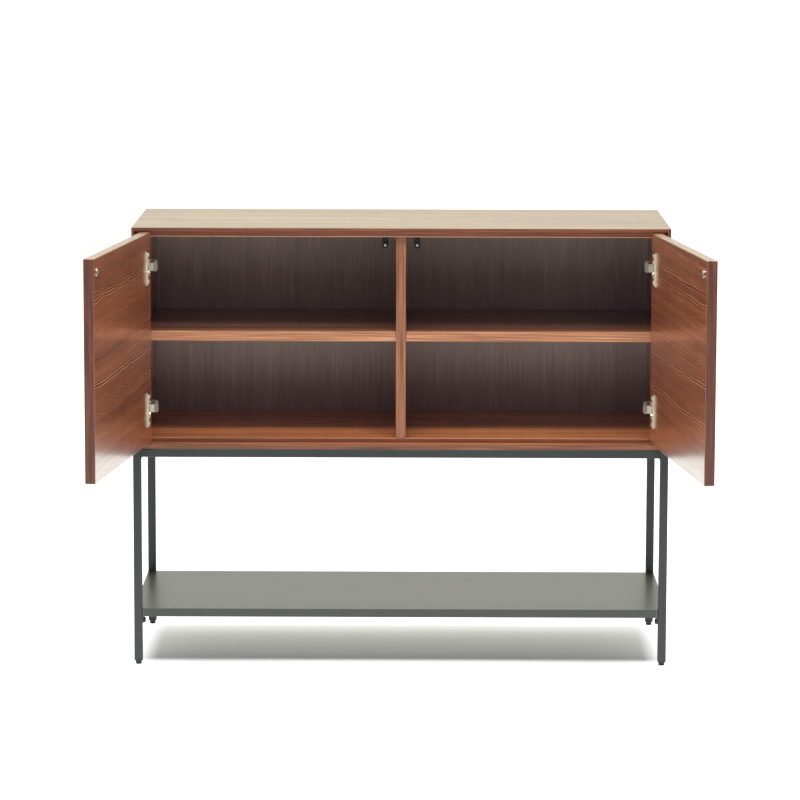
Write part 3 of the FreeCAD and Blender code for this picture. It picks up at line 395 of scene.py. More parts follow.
class Grain:
    """The lines of a sliced log, worked out at each point of a board."""

    def __init__(self, finish, along, first, second, heart=HEART, slope=SLOPE, seed=0.0, sway=SWAY):
        self.finish = finish
        self.along, self.first, self.second, self.seed = along, first, second, seed
        shift = self.waves(LONG_WAVE, seed).swing(sway) + self.waves(SHORT_WAVE, seed).swing(SHORT_SWAY)
        self.level = first + shift + along * slope
        away = first - heart[0] + shift
        deep = second - heart[1] + shift * DEEP_SWAY_SHARE
        self.ring = (away * away + deep * deep) ** 0.5 + along * slope

    def waves(self, pattern, seed=0.0):
        along_cells, across_cells, detail = pattern
        return self.finish.noise(
            self.finish.join(self.along * along_cells + seed, self.first * across_cells,
                             self.second * across_cells), detail=detail)

    def rings(self, pattern):
        out_cells, detail, along_cells = pattern
        return self.finish.noise(
            self.finish.join(self.ring * out_cells, self.along * along_cells, self.seed), detail=detail)

    def streaks(self, pattern):
        length, width, detail = pattern
        return self.finish.noise(
            self.finish.join(self.along / length, self.first / width, self.second / width),
            detail=detail)

    def vein(self, height):
        """A small bundle of dark and pale lines, from 1 to -1, that wanders along the board
        and fades in places."""
        wander = self.finish.noise(
            self.finish.join(self.along * WANDER_CELLS + height * WANDER_SEED, self.seed, 0.0),
            detail=1.0)
        tremble = self.finish.noise(
            self.finish.join(self.along * TREMBLE_CELLS, height * TREMBLE_SEED,
                             self.first * TREMBLE_CELLS), detail=1.0)
        away = self.level - height + wander.swing(VEIN_WANDER) + tremble.swing(VEIN_TREMBLE)
        lines = (away * (2 * math.pi / VEIN_LINES_APART)).cosine()
        near = away.absolute().level(0.0, VEIN_REACH, 1.0, 0.0)
        return lines * near * wander.level(*VEIN_FADE)


def walnut(name, grain="x", centre=(0, 0, 0), turn=0.0, seed=0.0, heart=HEART, slope=SLOPE,
           sway=SWAY, figure=1.0, tones=FACE_TONES, gloss=1.0, polish=1.8, zones=(), veins=(),
           seam=None):
    """Lacquered walnut veneer. Each zone is a mask from the point's three coordinates, its tones,
    the share of the gloss that it keeps, and the lengths of a streak along each coordinate.
    Each vein is its height on the board and its strength."""
    finish = Finish(name)
    x, y, z = finish.split(finish.place(centre, turn))
    along, first, second = {"x": (x, z, y), "z": (z, x, y)}[grain]
    lines = Grain(finish, along, first, second, heart, slope, seed, sway)
    thin = lines.rings(THIN_LINES)
    fibres = lines.streaks(FIBRES)
    pores = lines.streaks(PORES).level(*PORE_RUN)
    cloud = lines.waves(CLOUD, seed)
    ripple = lines.waves(RIPPLE)
    rings = (lines.rings(BROAD_BANDS).swing(BROAD_SHARE) + lines.rings(BANDS).swing(BAND_SHARE)
             + cloud.swing(CLOUD_SHARE))
    value = (0.5 + rings * figure + fibres.swing(FIBRE_SHARE) + ripple.swing(RIPPLE_SHARE)
             - pores * PORE_SHARE
             - thin.level(*DARK_LINE_RUN, 0.0, DARK_LINE_SHARE * figure)
             + thin.level(*PALE_LINE_RUN, 0.0, PALE_LINE_SHARE * figure))
    for height, strength in veins:
        value = value - lines.vein(height) * strength
    colour = value.ramp(TONE_STOPS, tones)
    coat = gloss - pores * (PORE_DULLING * gloss)
    for zone, zone_tones, kept, lengths in zones:
        mask = zone(x, y, z)
        pattern = value
        if lengths:
            streaks = finish.noise(
                finish.join(x / lengths[0] + seed, y / lengths[1], z / lengths[2]),
                detail=4.0, roughness=0.6)
            pattern = (0.5 + streaks.swing(EDGE_STREAK_SHARE) + cloud.swing(EDGE_CLOUD_SHARE)
                       - pores * EDGE_PORE_SHARE)
        colour = finish.mix(mask, colour, pattern.ramp(TONE_STOPS, zone_tones))
        coat = coat - mask * (coat * (1 - kept))
    if seam:
        colour = finish.mix(seam(x, y, z), colour, LINE_TONE)
    finish.set(Base_Color=colour, Roughness=0.42 - value.swing(0.12), Coat_Weight=coat,
               Coat_Roughness=0.22, Coat_IOR=polish)
    finish.bump(fibres * 0.5 - pores, GRAIN_DEPTH, strength=0.6)
    return finish.material


# How far each zone of a board reaches from its face or edge. The banding reaches over the bevel.
BANDING = 0.0012
REBATE_REACH = 0.0003
UPPER_REACH = 0.0009
RIM_REACH = 0.0007
BACK_REACH = 0.0005
STEP_LINE_HALF = 0.0008
# A painted strip of light from the front reaches this deep over a shelf, at this strength.
LIT_DEPTH = 0.045
LIT_SHARE = 0.8
# The glue line of a mitre: full to the first distance, gone at the second.
MITRE_LINE = (0.00015, 0.0004)
MITRE_SHARE = 0.8
LIP_GLOSS = 0.3


def front_band(x, y, z):
    """The banded front edge of a board whose front lies at y = 0."""
    return y.within(0.0, BANDING)


def lit_front_strip(x, y, z):
    """The strip of a shelf near its front, painted in lit tones as light from the front falls on it."""
    return y.level(0.0, LIT_DEPTH, LIT_SHARE, 0.0)


def rebate_face(x, y, z):
    """The step behind the lip, where a shut door rests inside the case."""
    return y.within(REBATE, REBATE_REACH)


# The top board's upper face, which takes the painted sheen tones.
def upper_face(x, y, z):
    return z.within(CASE_TOP, UPPER_REACH)


def step_highlight(x, y, z):
    """A painted highlight: the thin pale line at the lower edge of the step under the top board's lip.
    """
    return rebate_face(x, y, z) * z.within(CEILING + STEP_LINE_HALF, STEP_LINE_HALF)


def mitre(x, y, z):
    """The thin glue line where two boards meet at 45 degrees at each corner of the case."""
    from_side = CASE_HALF - x.absolute()
    half_height = (CASE_TOP - CASE_LOW) / 2
    from_end = half_height - (z - (CASE_TOP + CASE_LOW) / 2).absolute()
    return (from_side - from_end).absolute().level(*MITRE_LINE, MITRE_SHARE, 0.0)


def lip_zones(tones, streaks, step_shade_tones=REBATE_SHADE_TONES):
    """The front edge of a case board and the step behind its lip, which is painted darker as shade."""
    return (front_band, tones, LIP_GLOSS, streaks), (rebate_face, step_shade_tones, LIP_GLOSS, streaks)


def make_case_wood():
    front = (0, CASE_FRONT, 0)
    top_zones = ((upper_face, SHEEN_TOP_TONES, 1.0, None), *lip_zones(EDGE_TONES, LEVEL_STREAKS),
                 (step_highlight, STEP_HIGHLIGHT_TONES, 1.0, None))
    put(walnut("walnut_top", "x", front, seed=3.1, heart=(0.7, 0.16), slope=0.03, gloss=0.66,
               seam=mitre, zones=top_zones), "top_panel")
    put(walnut("walnut_bottom", "x", front, seed=7.7, heart=(0.34, 0.22), slope=0.05,
               tones=LIT_FLOOR_TONES, seam=mitre,
               zones=lip_zones(LOW_EDGE_TONES, LEVEL_STREAKS, LOW_REBATE_SHADE_TONES)), "bottom_panel")
    for word, side in SIDES:
        seed = 3.6 + 2.3 * side
        put(walnut("walnut_%s_side" % word, "z", front, seed=seed,
                   heart=(side * (CASE_HALF - SIDE_HEART_INSET), 0.2), seam=mitre,
                   zones=lip_zones(EDGE_TONES, UPRIGHT_STREAKS)), word + "_side_panel")
        low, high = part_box(word + "_shelf")
        put(walnut("walnut_%s_shelf" % word, "x", ((low.x + high.x) / 2, low.y, high.z),
                   seed=seed + 11, heart=(-0.05, 0.12), slope=0.02, tones=SHADE_TONES,
                   zones=((lit_front_strip, LIT_FLOOR_TONES, 1.0, None),
                          (front_band, SHELF_EDGE_TONES, 0.5, LEVEL_STREAKS))), word + "_shelf")
    put(walnut("walnut_divider", "z", (0, divider_low.y, 0), seed=9.2, heart=(0.05, 0.16),
               zones=((front_band, DIVIDER_EDGE_TONES, 0.4, UPRIGHT_STREAKS),)), "centre_divider")


# The veins of each door: height as a share of the door's, and strength.
DOOR_VEINS = {
    "left": ((0.862, 0.3), (0.832, 0.5), (0.69, 0.15), (0.6, 0.1), (0.455, 0.65), (0.36, 0.4),
             (0.325, 0.3), (0.26, 0.15)),
    "right": ((0.86, 0.3), (0.81, 0.35), (0.6, 0.25), (0.54, 0.5), (0.45, 0.65), (0.28, 0.5),
              (0.15, 0.1)),
}
DOOR_GLOSS = 0.35


def make_door_wood():
    low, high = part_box("left_door")
    height = high.z - low.z
    reach = (DOOR_END - DOOR_START) / 2
    for word, side in SIDES:
        middle = -side * (DOOR_START + reach)

        def rim(x, y, z):
            ends = 1 - x.within(middle, reach - RIM_REACH)
            return ends.larger(1 - z.within(height / 2, height / 2 - RIM_REACH))

        # A door's top edge, painted in the pale sheen tones with doubled gloss as a highlight.
        def top_edge(x, y, z):
            return z.within(height, RIM_REACH) * y.within(DOOR_BOARD / 2, DOOR_BOARD / 2 - RIM_REACH)

        centre = (*pivot(side).xy, low.z)
        veins = [(share * height, strength) for share, strength in DOOR_VEINS[word]]
        zones = ((front_band, FACE_TONES, DOOR_GLOSS, None),
                 (rim, DOOR_EDGE_TONES, DOOR_GLOSS, DOOR_STREAKS),
                 (top_edge, SHEEN_TOP_TONES, 2.0, DOOR_STREAKS))
        put(walnut("walnut_%s_door" % word, "x", centre, side * DOOR_TURN, seed=5.6 + 3.2 * side,
                   heart=(-0.35, -0.06), slope=-0.015 * side, sway=0.018, figure=0.6, veins=veins,
                   polish=2.5, zones=zones), word + "_door")


def make_back_veneer():
    """Upright veneer, painted paler than the walnut behind as light, darker and cooler low in each
    compartment as painted shade and warmer high in it as painted light, and plain walnut behind.
    """
    finish = Finish("back_veneer")
    x, y, z = finish.split(finish.place())
    lines = Grain(finish, z, x, y, heart=(0.03, -0.3), slope=0.02, seed=4.0)
    fibres = lines.streaks(BACK_FIBRES)
    value = (0.5 + fibres.swing(BACK_FIBRE_SHARE) + lines.streaks(BACK_STRIPES).swing(BACK_STRIPE_SHARE)
             + lines.rings(BACK_BANDS).swing(BACK_BAND_SHARE))
    shelf_low, shelf_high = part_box("left_shelf")
    # How far up its compartment a point lies, for the painted shade low and the painted light high.
    below = z.level(CASE_FLOOR, shelf_low.z)
    above = z.level(shelf_high.z, CEILING)
    height = below + (above - below) * z.over((shelf_low.z + shelf_high.z) / 2)
    inside = y.within(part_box("back_panel")[0].y, BACK_REACH)
    front = finish.mix(height, value.ramp(BACK_STOPS, SHADED_BACK_TONES),
                       value.ramp(BACK_STOPS, LIT_BACK_TONES))
    finish.set(Base_Color=finish.mix(inside, value.ramp(BACK_STOPS, REAR_TONES), front),
               Roughness=0.34 - fibres.swing(0.12), Specular_IOR_Level=1.0)
    finish.bump(fibres, GRAIN_DEPTH, strength=0.5)
    return finish.material


# Cells of the noise to a metre, across the beech's grain and along it.
BEECH_CELLS = (900.0, 60.0)


def make_beech():
    finish = Finish("beech")
    x, y, z = finish.split(finish.place())
    across, along = BEECH_CELLS
    flecks = finish.noise(finish.join(x * across, y * across, z * along))
    finish.set(Base_Color=flecks.ramp((0.3, 0.7), (rgb(186, 146, 104), rgb(214, 178, 134))),
               Roughness=0.6)
    return finish.material


# Metal and plastic

# Cells of each noise to a metre.
PAINT_GRIT = 2600.0
PAINT_PEEL = 700.0
PAINT_CLOUD = 14.0
DRAWN_ACROSS = 2500.0
DRAWN_ALONG = 140.0
METAL_CLOUD = 160.0
MAGNET_CLOUD = 900.0
PLASTIC_GRAIN = 1800.0
PLASTIC_CLOUD = 60.0

PAINT_DEPTH = 0.00006
DRAWN_DEPTH = 0.00002
PLASTIC_DEPTH = 0.00004

# A dark and a light tone of each plated metal, and the pale tone of a painted highlight on a cup's rim.
NICKEL_TONES = (rgb(176, 171, 158), rgb(206, 201, 188))
BRIGHT_NICKEL_TONES = (rgb(196, 190, 174), rgb(226, 220, 204))
ZINC_TONES = (rgb(196, 194, 188), rgb(228, 226, 220))
RIM_HIGHLIGHT_TONE = rgb(228, 222, 192)

# The tone of a magnet's dome, from shares of its radius: a painted highlight in the middle, darkening
# to painted shade at the rim.
MAGNET_STOPS = (0.4, 0.72, 0.95)
MAGNET_GLINT_TONES = (rgb(226, 226, 222), rgb(150, 150, 148), rgb(70, 70, 70))

# The raised rim of a hinge cup's plate, where a highlight is painted, inwards from its far end: full,
# and gone.
CUP_RIM = (0.0026, 0.003)


def make_steel_paint(name, dark, light, coat):
    """Fine powder coat in a dark grey green."""
    finish = Finish(name)
    point = finish.place()
    grit = finish.noise(point, PAINT_GRIT)
    peel = finish.noise(point, PAINT_PEEL)
    cloud = finish.noise(point, PAINT_CLOUD)
    value = 0.5 + grit.swing(0.5) + cloud.swing(0.4)
    finish.set(Base_Color=value.ramp((0.2, 0.8), (dark, light)),
               Roughness=0.36 + grit.swing(0.16) + cloud.swing(0.06),
               Coat_Weight=coat + cloud.swing(0.1), Coat_Roughness=0.3)
    finish.bump(peel + grit * 0.4, PAINT_DEPTH, strength=0.35)
    return finish.material


def make_plated(name, dark, light, roughness, metallic=1.0):
    """Plated steel with faint drawing lines and cloudy sheen."""
    finish = Finish(name)
    point = finish.place()
    x, y, z = finish.split(point)
    drawn = finish.noise(finish.join(x * DRAWN_ACROSS, y * DRAWN_ACROSS, z * DRAWN_ALONG))
    cloud = finish.noise(point, METAL_CLOUD, 3.0)
    finish.set(Base_Color=(cloud * 0.6 + drawn * 0.4).ramp((0.3, 0.7), (dark, light)),
               Metallic=metallic, Roughness=roughness + drawn.swing(0.12) + cloud.swing(0.1))
    finish.bump(drawn, DRAWN_DEPTH, strength=0.4)
    return finish.material


def make_cup_plate(word, side):
    """Polished nickel plate, with a painted highlight, pale and less metallic, on the raised rim that
    lies farthest from the hinge side.
    """
    finish = Finish("bright_nickel")
    x, y, z = finish.split(finish.place((*pivot(side).xy, 0), side * DOOR_TURN))
    rim_end = max(abs(point.x) for point in shut_points(word + "_upper_hinge_cup", side))
    full, gone = CUP_RIM
    rim = x.absolute().level(rim_end - gone, rim_end - full)
    cloud = finish.noise(finish.place(), METAL_CLOUD, 3.0)
    plate = cloud.ramp((0.3, 0.7), BRIGHT_NICKEL_TONES)
    finish.set(Base_Color=finish.mix(rim, plate, RIM_HIGHLIGHT_TONE), Metallic=1 - rim * 0.4,
               Roughness=0.2 + rim * 0.22 + cloud.swing(0.1))
    return finish.material


def make_magnet():
    """The domed steel tip of a latch, with a painted highlight in its middle that darkens towards its
    rim.
    """
    finish = Finish("magnet_metal")
    low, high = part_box("right_latch_magnet")
    middle = (low + high) / 2
    x, y, z = finish.split(finish.place())
    across, up = x.absolute() - middle.x, z - middle.z
    away = (across * across + up * up) ** 0.5
    cloud = finish.noise(finish.place(), MAGNET_CLOUD)
    colour = (away / (high.x - middle.x) + cloud.swing(0.1)).ramp(MAGNET_STOPS, MAGNET_GLINT_TONES)
    finish.set(Base_Color=colour, Metallic=0.6, Roughness=0.32 + cloud.swing(0.1))
    return finish.material


def make_plastic(name, dark, light, roughness):
    finish = Finish(name)
    point = finish.place()
    grain = finish.noise(point, PLASTIC_GRAIN)
    cloud = finish.noise(point, PLASTIC_CLOUD)
    finish.set(Base_Color=cloud.ramp((0.35, 0.65), (dark, light)),
               Roughness=roughness + grain.swing(0.15))
    finish.bump(grain, PLASTIC_DEPTH, strength=0.4)
    return finish.material


# Shaping

# Points nearer than this are one point.
SAME_PLACE = 1e-6
# Edges that turn by more are broken, and edges that turn by less are shaded smooth.
SHARP_TURN = math.radians(40)
SMOOTH_TURN = math.radians(35)
# Steps of a broken edge and of a rounded corner.
EDGE_STEPS = 2
CORNER_STEPS = 6


def deselect():
    if bpy.context.object and bpy.context.object.mode != "OBJECT":
        bpy.ops.object.mode_set(mode="OBJECT")
    bpy.ops.object.select_all(action="DESELECT")


def hold(piece):
    """Makes one piece the active and only selected one."""
    deselect()
    piece.select_set(True)
    bpy.context.view_layer.objects.active = piece


def pick_edges(piece, test):
    """Opens a piece in edit mode with those edges selected whose middle passes the test."""
    hold(piece)
    bpy.ops.object.mode_set(mode="EDIT")
    bpy.ops.mesh.select_mode(type="EDGE")
    bpy.ops.mesh.select_all(action="DESELECT")
    mesh = bmesh.from_edit_mesh(piece.data)
    for edge in mesh.edges:
        start, end = (vertex.co for vertex in edge.verts)
        if test((start + end) / 2):
            edge.select_set(True)
    bmesh.update_edit_mesh(piece.data)


def work(piece, kind, **settings):
    """Adds a modifier, sets it and applies it."""
    hold(piece)
    modifier = piece.modifiers.new(kind.lower(), kind)
    for name, value in settings.items():
        setattr(modifier, name, value)
    bpy.ops.object.modifier_apply(modifier=modifier.name)


def turned(name, profile, sides):
    """A round piece about the upright axis: a disc, drawn up and widened ring by ring."""
    deselect()
    radius, height = profile[0]
    bpy.ops.mesh.primitive_circle_add(
        vertices=sides, radius=radius, fill_type="NGON", location=(0, 0, height))
    piece = bpy.context.active_object
    piece.name = name
    bpy.ops.object.transform_apply()
    bpy.ops.object.mode_set(mode="EDIT")
    for (radius, height), (next_radius, next_height) in zip(profile, profile[1:]):
        bpy.ops.mesh.extrude_region_move(TRANSFORM_OT_translate={"value": (0, 0, next_height - height)})
        share = next_radius / radius
        bpy.ops.transform.resize(value=(share, share, 1), center_override=(0, 0, next_height))
    bpy.ops.mesh.select_all(action="SELECT")
    bpy.ops.mesh.normals_make_consistent(inside=False)
    bpy.ops.object.mode_set(mode="OBJECT")
    return piece


def block(name, low, high, bevel=0.0, corner=None):
    """A box between two corners. Its edges may be broken, and its upright ones rounded more."""
    deselect()
    low, high = Vector(low), Vector(high)
    middle = (low + high) / 2
    bpy.ops.mesh.primitive_cube_add(size=1, location=middle, scale=high - low)
    piece = bpy.context.active_object
    piece.name = name
    bpy.ops.object.transform_apply()
    if corner:
        pick_edges(piece, lambda point: abs(point.z - middle.z) < SAME_PLACE)
        bpy.ops.mesh.bevel(offset=corner, segments=CORNER_STEPS, affect="EDGES")
        bpy.ops.object.mode_set(mode="OBJECT")
    if bevel:
        work(piece, "BEVEL", width=bevel, segments=EDGE_STEPS, limit_method="ANGLE",
             angle_limit=SHARP_TURN)
    return piece


def cut(piece, tool):
    """Takes a tool's shape out of a piece."""
    work(piece, "BOOLEAN", operation="DIFFERENCE", solver="EXACT", object=tool)
    bpy.data.objects.remove(tool)


def copied(piece, matrix):
    twin = piece.copy()
    twin.data = piece.data.copy()
    twin.data.transform(matrix)
    bpy.context.collection.objects.link(twin)
    return twin


def joined(name, pieces):
    hold(pieces[0])
    for piece in pieces:
        piece.select_set(True)
    if len(pieces) > 1:
        bpy.ops.object.join()
    pieces[0].name = name
    return pieces[0]


def settle(piece, material, body, replaced):
    """Finishes a piece: its shading and material, the body it rides on
    and the node it stands for."""
    hold(piece)
    bpy.ops.object.shade_smooth_by_angle(angle=SMOOTH_TURN)
    piece.data.materials.clear()
    piece.data.materials.append(material)
    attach(piece, body)
    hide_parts(replaced)


def solids(name, back):
    """The points of each separate solid of a CAD node, carried back by a turn."""
    hold(nodes[name])
    bpy.ops.object.duplicate()
    bpy.ops.object.mode_set(mode="EDIT")
    bpy.ops.mesh.select_all(action="SELECT")
    bpy.ops.mesh.remove_doubles(threshold=SAME_PLACE)
    bpy.ops.mesh.separate(type="LOOSE")
    bpy.ops.object.mode_set(mode="OBJECT")
    found = []
    for piece in list(bpy.context.selected_objects):
        found.append([back @ vertex.co for vertex in piece.data.vertices])
        bpy.data.objects.remove(piece)
    return sorted(found, key=lambda points: tuple(round(c, 5) for c in points[0]))


def extent(points):
    low = Vector([min(point[i] for point in points) for i in range(3)])
    high = Vector([max(point[i] for point in points) for i in range(3)])
    return low, high


# Screws

# Points farther out than this share of a head's radius belong to its rim.
RIM_SHARE = 0.9
# A tip, as shares of the shank's radius: its own radius and its length.
TIP_SHARES = (0.2, 1.6)
# The outline of a domed head from its underside: shares of its radius and of its height.
HEAD_SHARES = ((0.96, 1), (1, 0.86), (1, 0.5), (0.96, 0.28), (0.86, 0.12), (0.7, 0.03), (0.45, 0))
# The recess, as shares of the head: its depth, a cross's half length and half width, a key's radius.
RECESS_SHARE = 0.6
CROSS_SHARES = (0.56, 0.13)
KEY_SHARE = 0.5
KEY_SIDES = 6
SCREW_SIDES = 28
# Each screw of a set is driven home at another angle.
FIRST_SPIN = 0.4
NEXT_SPIN = 1.3


def screw_sizes(points):
    """The place, direction and sizes of a screw, read from the points of its plain solid."""
    low, high = extent(points)
    size = high - low
    longest = max(range(3), key=lambda i: size[i])
    middle = (low + high) / 2
    wide = max(size[i] for i in range(3) if i != longest) / 2

    def off_axis(point):
        away = point - middle
        away[longest] = 0
        return away.length

    rim = [point[longest] for point in points if off_axis(point) > RIM_SHARE * wide]
    shank = max(off_axis(point) for point in points if off_axis(point) < RIM_SHARE * wide)
    outwards = 1 if sum(rim) / len(rim) > middle[longest] else -1
    axis = Vector()
    axis[longest] = outwards
    face = middle.copy()
    face[longest] = high[longest] if outwards > 0 else low[longest]
    return {"face": face, "axis": axis, "radius": wide, "head": max(rim) - min(rim), "shank": shank,
            "length": size[longest]}


def make_screw(sizes, drive):
    """A screw with a domed head, its face at the origin and its shank below."""
    radius, head, shank, length = (sizes[key] for key in ("radius", "head", "shank", "length"))
    tip_radius, tip_length = (share * shank for share in TIP_SHARES)
    profile = [(tip_radius, -length), (shank, tip_length - length), (shank, -head)]
    profile += [(radius * share, -head * drop) for share, drop in HEAD_SHARES]
    screw = turned("screw", profile, SCREW_SIDES)
    depth = head * RECESS_SHARE
    if drive == "cross":
        arm, thickness = (radius * share for share in CROSS_SHARES)
        cut(screw, block("bar", (-arm, -thickness, -depth), (arm, thickness, head)))
        cut(screw, block("bar", (-thickness, -arm, -depth), (thickness, arm, head)))
    else:
        cut(screw, turned("key", [(radius * KEY_SHARE, -depth), (radius * KEY_SHARE, head)], KEY_SIDES))
    return screw


def dress_screws(name, body, material, drive="cross", side=0):
    """Puts a modelled screw in the place of each plain one of a node. For the screws of a door,
    side is the side that it is on."""
    turn = door_turn(side) if side else Matrix()
    places = [screw_sizes(points) for points in solids(name, turn.inverted())]
    model = make_screw(places[0], drive)
    twins = []
    for i, sizes in enumerate(places):
        aim = sizes["axis"].to_track_quat("Z", "Y").to_matrix().to_4x4()
        spin = Matrix.Rotation(FIRST_SPIN + NEXT_SPIN * i, 4, "Z")
        twins.append(copied(model, turn @ Matrix.Translation(sizes["face"]) @ aim @ spin))
    bpy.data.objects.remove(model)
    settle(joined(name.rstrip("s") + "_set", twins), material, body, name)


# Feet, latches and hinge hardware

# A glide's round pad: its radius as a share of the cap's half width, then its outline, in shares
# of that radius and heights above the floor. The groove is the waist in the middle.
PAD_SHARE = 0.733
PAD_OUTLINE = ((0.5, 0.0008), (0.6, 0), (0.9, 0), (1, 0.0007), (1, 0.002), (0.95, 0.0023),
               (0.95, 0.0027), (1, 0.003), (1, 0.0045))
PAD_SIDES = 40
CAP_START = 0.0075
CAP_END = 0.0085
CAP_BEVEL = 0.0002
# The plug keeps this far inside the cap's sides.
PLUG_INSET = 0.0017
PLUG_BEVEL = 0.0006
PLUG_CORNER = 0.0012

# A latch's barrel: shares of its radius, with distances from its rear end, from where each rib
# starts and from its front end. The bore opens in front and stops a wall short of the rear.
BORE_SLACK = 0.00006
BORE_WALL = 0.004
BARREL_SIDES = 48
REAR_OUTLINE = ((0.8, 0), (0.95, 0.0006), (1, 0.0018))
RIBS = 5
FIRST_RIB = 0.006
RIB_PITCH = 0.0032
RIB_OUTLINE = ((1, 0), (0.9, 0.0003), (0.9, 0.0013), (1, 0.0016))
FRONT_OUTLINE = ((1, 0.0045), (0.93, 0.0041), (0.93, 0.0033), (1, 0.0029), (1, 0.0007), (0.93, 0))
MOUTH_SHARE = 1.14
MOUTH_DEPTH = 0.0005
# The neck and the flange over the barrel, from the front end.
NECK_START = 0.002
NECK_END = 0.048
NECK_HALF = 0.00525
NECK_SINK_SHARE = 0.62
NECK_GAP = 0.0001
NECK_BEVEL = 0.0006
FLANGE_THICKNESS = 0.002
FLANGE_BEVEL = 0.0003
FLANGE_CORNER = 0.002

# The broken edges of stamped, bent and folded pieces.
STAMPED_EDGE = 0.0003
BENT_EDGE = 0.00035
FOLDED_EDGE = 0.0005


def make_foot(name, material):
    """A moulded glide: a round pad with a groove, a square cap and a plug inside the leg."""
    low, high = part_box(name)
    middle = (low + high) / 2
    cap_half = (high.x - low.x) / 2
    profile = [(cap_half * PAD_SHARE * share, height) for share, height in PAD_OUTLINE]
    pad = turned("pad", profile + [(cap_half, CAP_START)], PAD_SIDES)
    pad.data.transform(Matrix.Translation((middle.x, middle.y, low.z)))
    cap = block("cap", (low.x, low.y, low.z + CAP_START), (high.x, high.y, low.z + CAP_END), CAP_BEVEL)
    plug_half = cap_half - PLUG_INSET
    plug = block("plug", (middle.x - plug_half, middle.y - plug_half, low.z + CAP_END),
                 (middle.x + plug_half, middle.y + plug_half, high.z), PLUG_BEVEL, PLUG_CORNER)
    settle(joined(name + "_glide", [pad, cap, plug]), material, "cabinet", name)


def make_latch(word, side, material):
    """A touch latch's housing: a bored barrel with ribs, a neck, and a flange screwed under
    the top board."""
    name = word + "_latch_housing"
    low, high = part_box(name)
    plunger_low, plunger_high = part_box(word + "_latch_plunger")
    axis = (plunger_low + plunger_high) / 2
    bore = (plunger_high.x - plunger_low.x) / 2 + BORE_SLACK
    radius = axis.z - low.z
    length = high.y - low.y
    profile = [(radius * share, length - back) for share, back in REAR_OUTLINE]
    for i in range(RIBS):
        rib = length - FIRST_RIB - RIB_PITCH * i
        profile += [(radius * share, rib - back) for share, back in RIB_OUTLINE]
    profile += [(radius * share, forward) for share, forward in FRONT_OUTLINE]
    profile += [(bore * MOUTH_SHARE, 0), (bore, MOUTH_DEPTH), (bore, length - BORE_WALL)]
    barrel = turned("barrel", profile, BARREL_SIDES)
    lie_down = Matrix.Rotation(math.radians(-90), 4, "X")
    barrel.data.transform(Matrix.Translation((axis.x, low.y, axis.z)) @ lie_down)
    start, end = low.y + NECK_START, low.y + NECK_END
    neck = block("neck", (axis.x - NECK_HALF, start, axis.z + radius * NECK_SINK_SHARE),
                 (axis.x + NECK_HALF, end, high.z - NECK_GAP), NECK_BEVEL)
    reach = low.x if side > 0 else high.x
    x_low, x_high = sorted((reach, axis.x))
    flange = block("flange", (x_low, start, high.z - FLANGE_THICKNESS), (x_high, end, high.z),
                   FLANGE_BEVEL, FLANGE_CORNER)
    body = joined(word + "_latch_body", [barrel, neck, flange])
    settle(body, material, "cabinet", name)


def soften(name, width):
    """Breaks the sharp edges of a pressed or moulded CAD piece."""
    weld = nodes[name].modifiers.new("weld", "WELD")
    weld.merge_threshold = SAME_PLACE
    bevel = nodes[name].modifiers.new("bevel", "BEVEL")
    bevel.width = width
    bevel.segments = EDGE_STEPS
    bevel.limit_method = "ANGLE"
    bevel.angle_limit = SHARP_TURN
    bevel.harden_normals = False


# Finishes on their pieces

make_case_wood()
make_door_wood()
put(make_back_veneer(), "back_panel")
put(make_beech(), "divider_dowels")
steel_paint = make_steel_paint("steel_paint", rgb(39, 47, 46), rgb(51, 59, 58), coat=0.1)
tray_paint = make_steel_paint("tray_paint", rgb(35, 40, 36), rgb(47, 52, 48), coat=0.66)
nickel = make_plated("nickel_plate", *NICKEL_TONES, roughness=0.3, metallic=0.65)
bright_nickel = make_plated("bright_nickel", *BRIGHT_NICKEL_TONES, roughness=0.2)
zinc = make_plated("zinc_plate", *ZINC_TONES, roughness=0.28, metallic=0.85)
magnet_metal = make_magnet()
black_plastic = make_plastic("black_plastic", rgb(18, 19, 20), rgb(26, 27, 28), roughness=0.5)
black_steel = make_plastic("black_steel", rgb(20, 20, 21), rgb(32, 32, 33), roughness=0.35)
for name in nodes:
    if name.endswith("magnet"):
        put(magnet_metal, name)
    elif "latch" in name and "screw" not in name or name.endswith("foot"):
        put(black_plastic, name)
    elif name in ("tray_screws", "latch_screws"):
        put(black_steel, name)
    elif "screw" in name or name == "shelf_pegs":
        put(zinc, name)
    elif "strike" in name or "cup" in name:
        put(bright_nickel, name)
    elif "hinge" in name:
        put(nickel, name)
    elif name == "lower_tray":
        put(tray_paint, name)
    elif "leg" in name or "rail" in name or "tray" in name or "weld" in name or "tab" in name:
        put(steel_paint, name)

for word, side in SIDES:
    put(make_cup_plate(word, side), word + "_lower_hinge_cup", word + "_upper_hinge_cup")

for name in ("hinge_plate_screws", "hinge_arm_screws", "back_panel_screws", "cabinet_tab_screws"):
    dress_screws(name, "cabinet", zinc)
dress_screws("latch_screws", "cabinet", black_steel)
dress_screws("tray_screws", "cabinet", black_steel, "hex")
for word, side in SIDES:
    dress_screws(word + "_cup_screws", word + "_door", zinc, side=side)
    dress_screws(word + "_strike_screw", word + "_door", zinc, side=side)
    for end in ("front", "rear"):
        make_foot("%s_%s_foot" % (end, word), black_plastic)
    make_latch(word, side, black_plastic)
    soften(word + "_strike_plate", STAMPED_EDGE)
    for level in ("lower", "upper"):
        soften("%s_%s_hinge_arm" % (word, level), BENT_EDGE)
        soften("%s_%s_hinge_cup" % (word, level), STAMPED_EDGE)
        soften("%s_%s_hinge_link" % (word, level), STAMPED_EDGE)
for name in ("lower_tray", "tray_lugs", "cabinet_tabs", "hinge_mounting_plates"):
    soften(name, FOLDED_EDGE)


# Studio

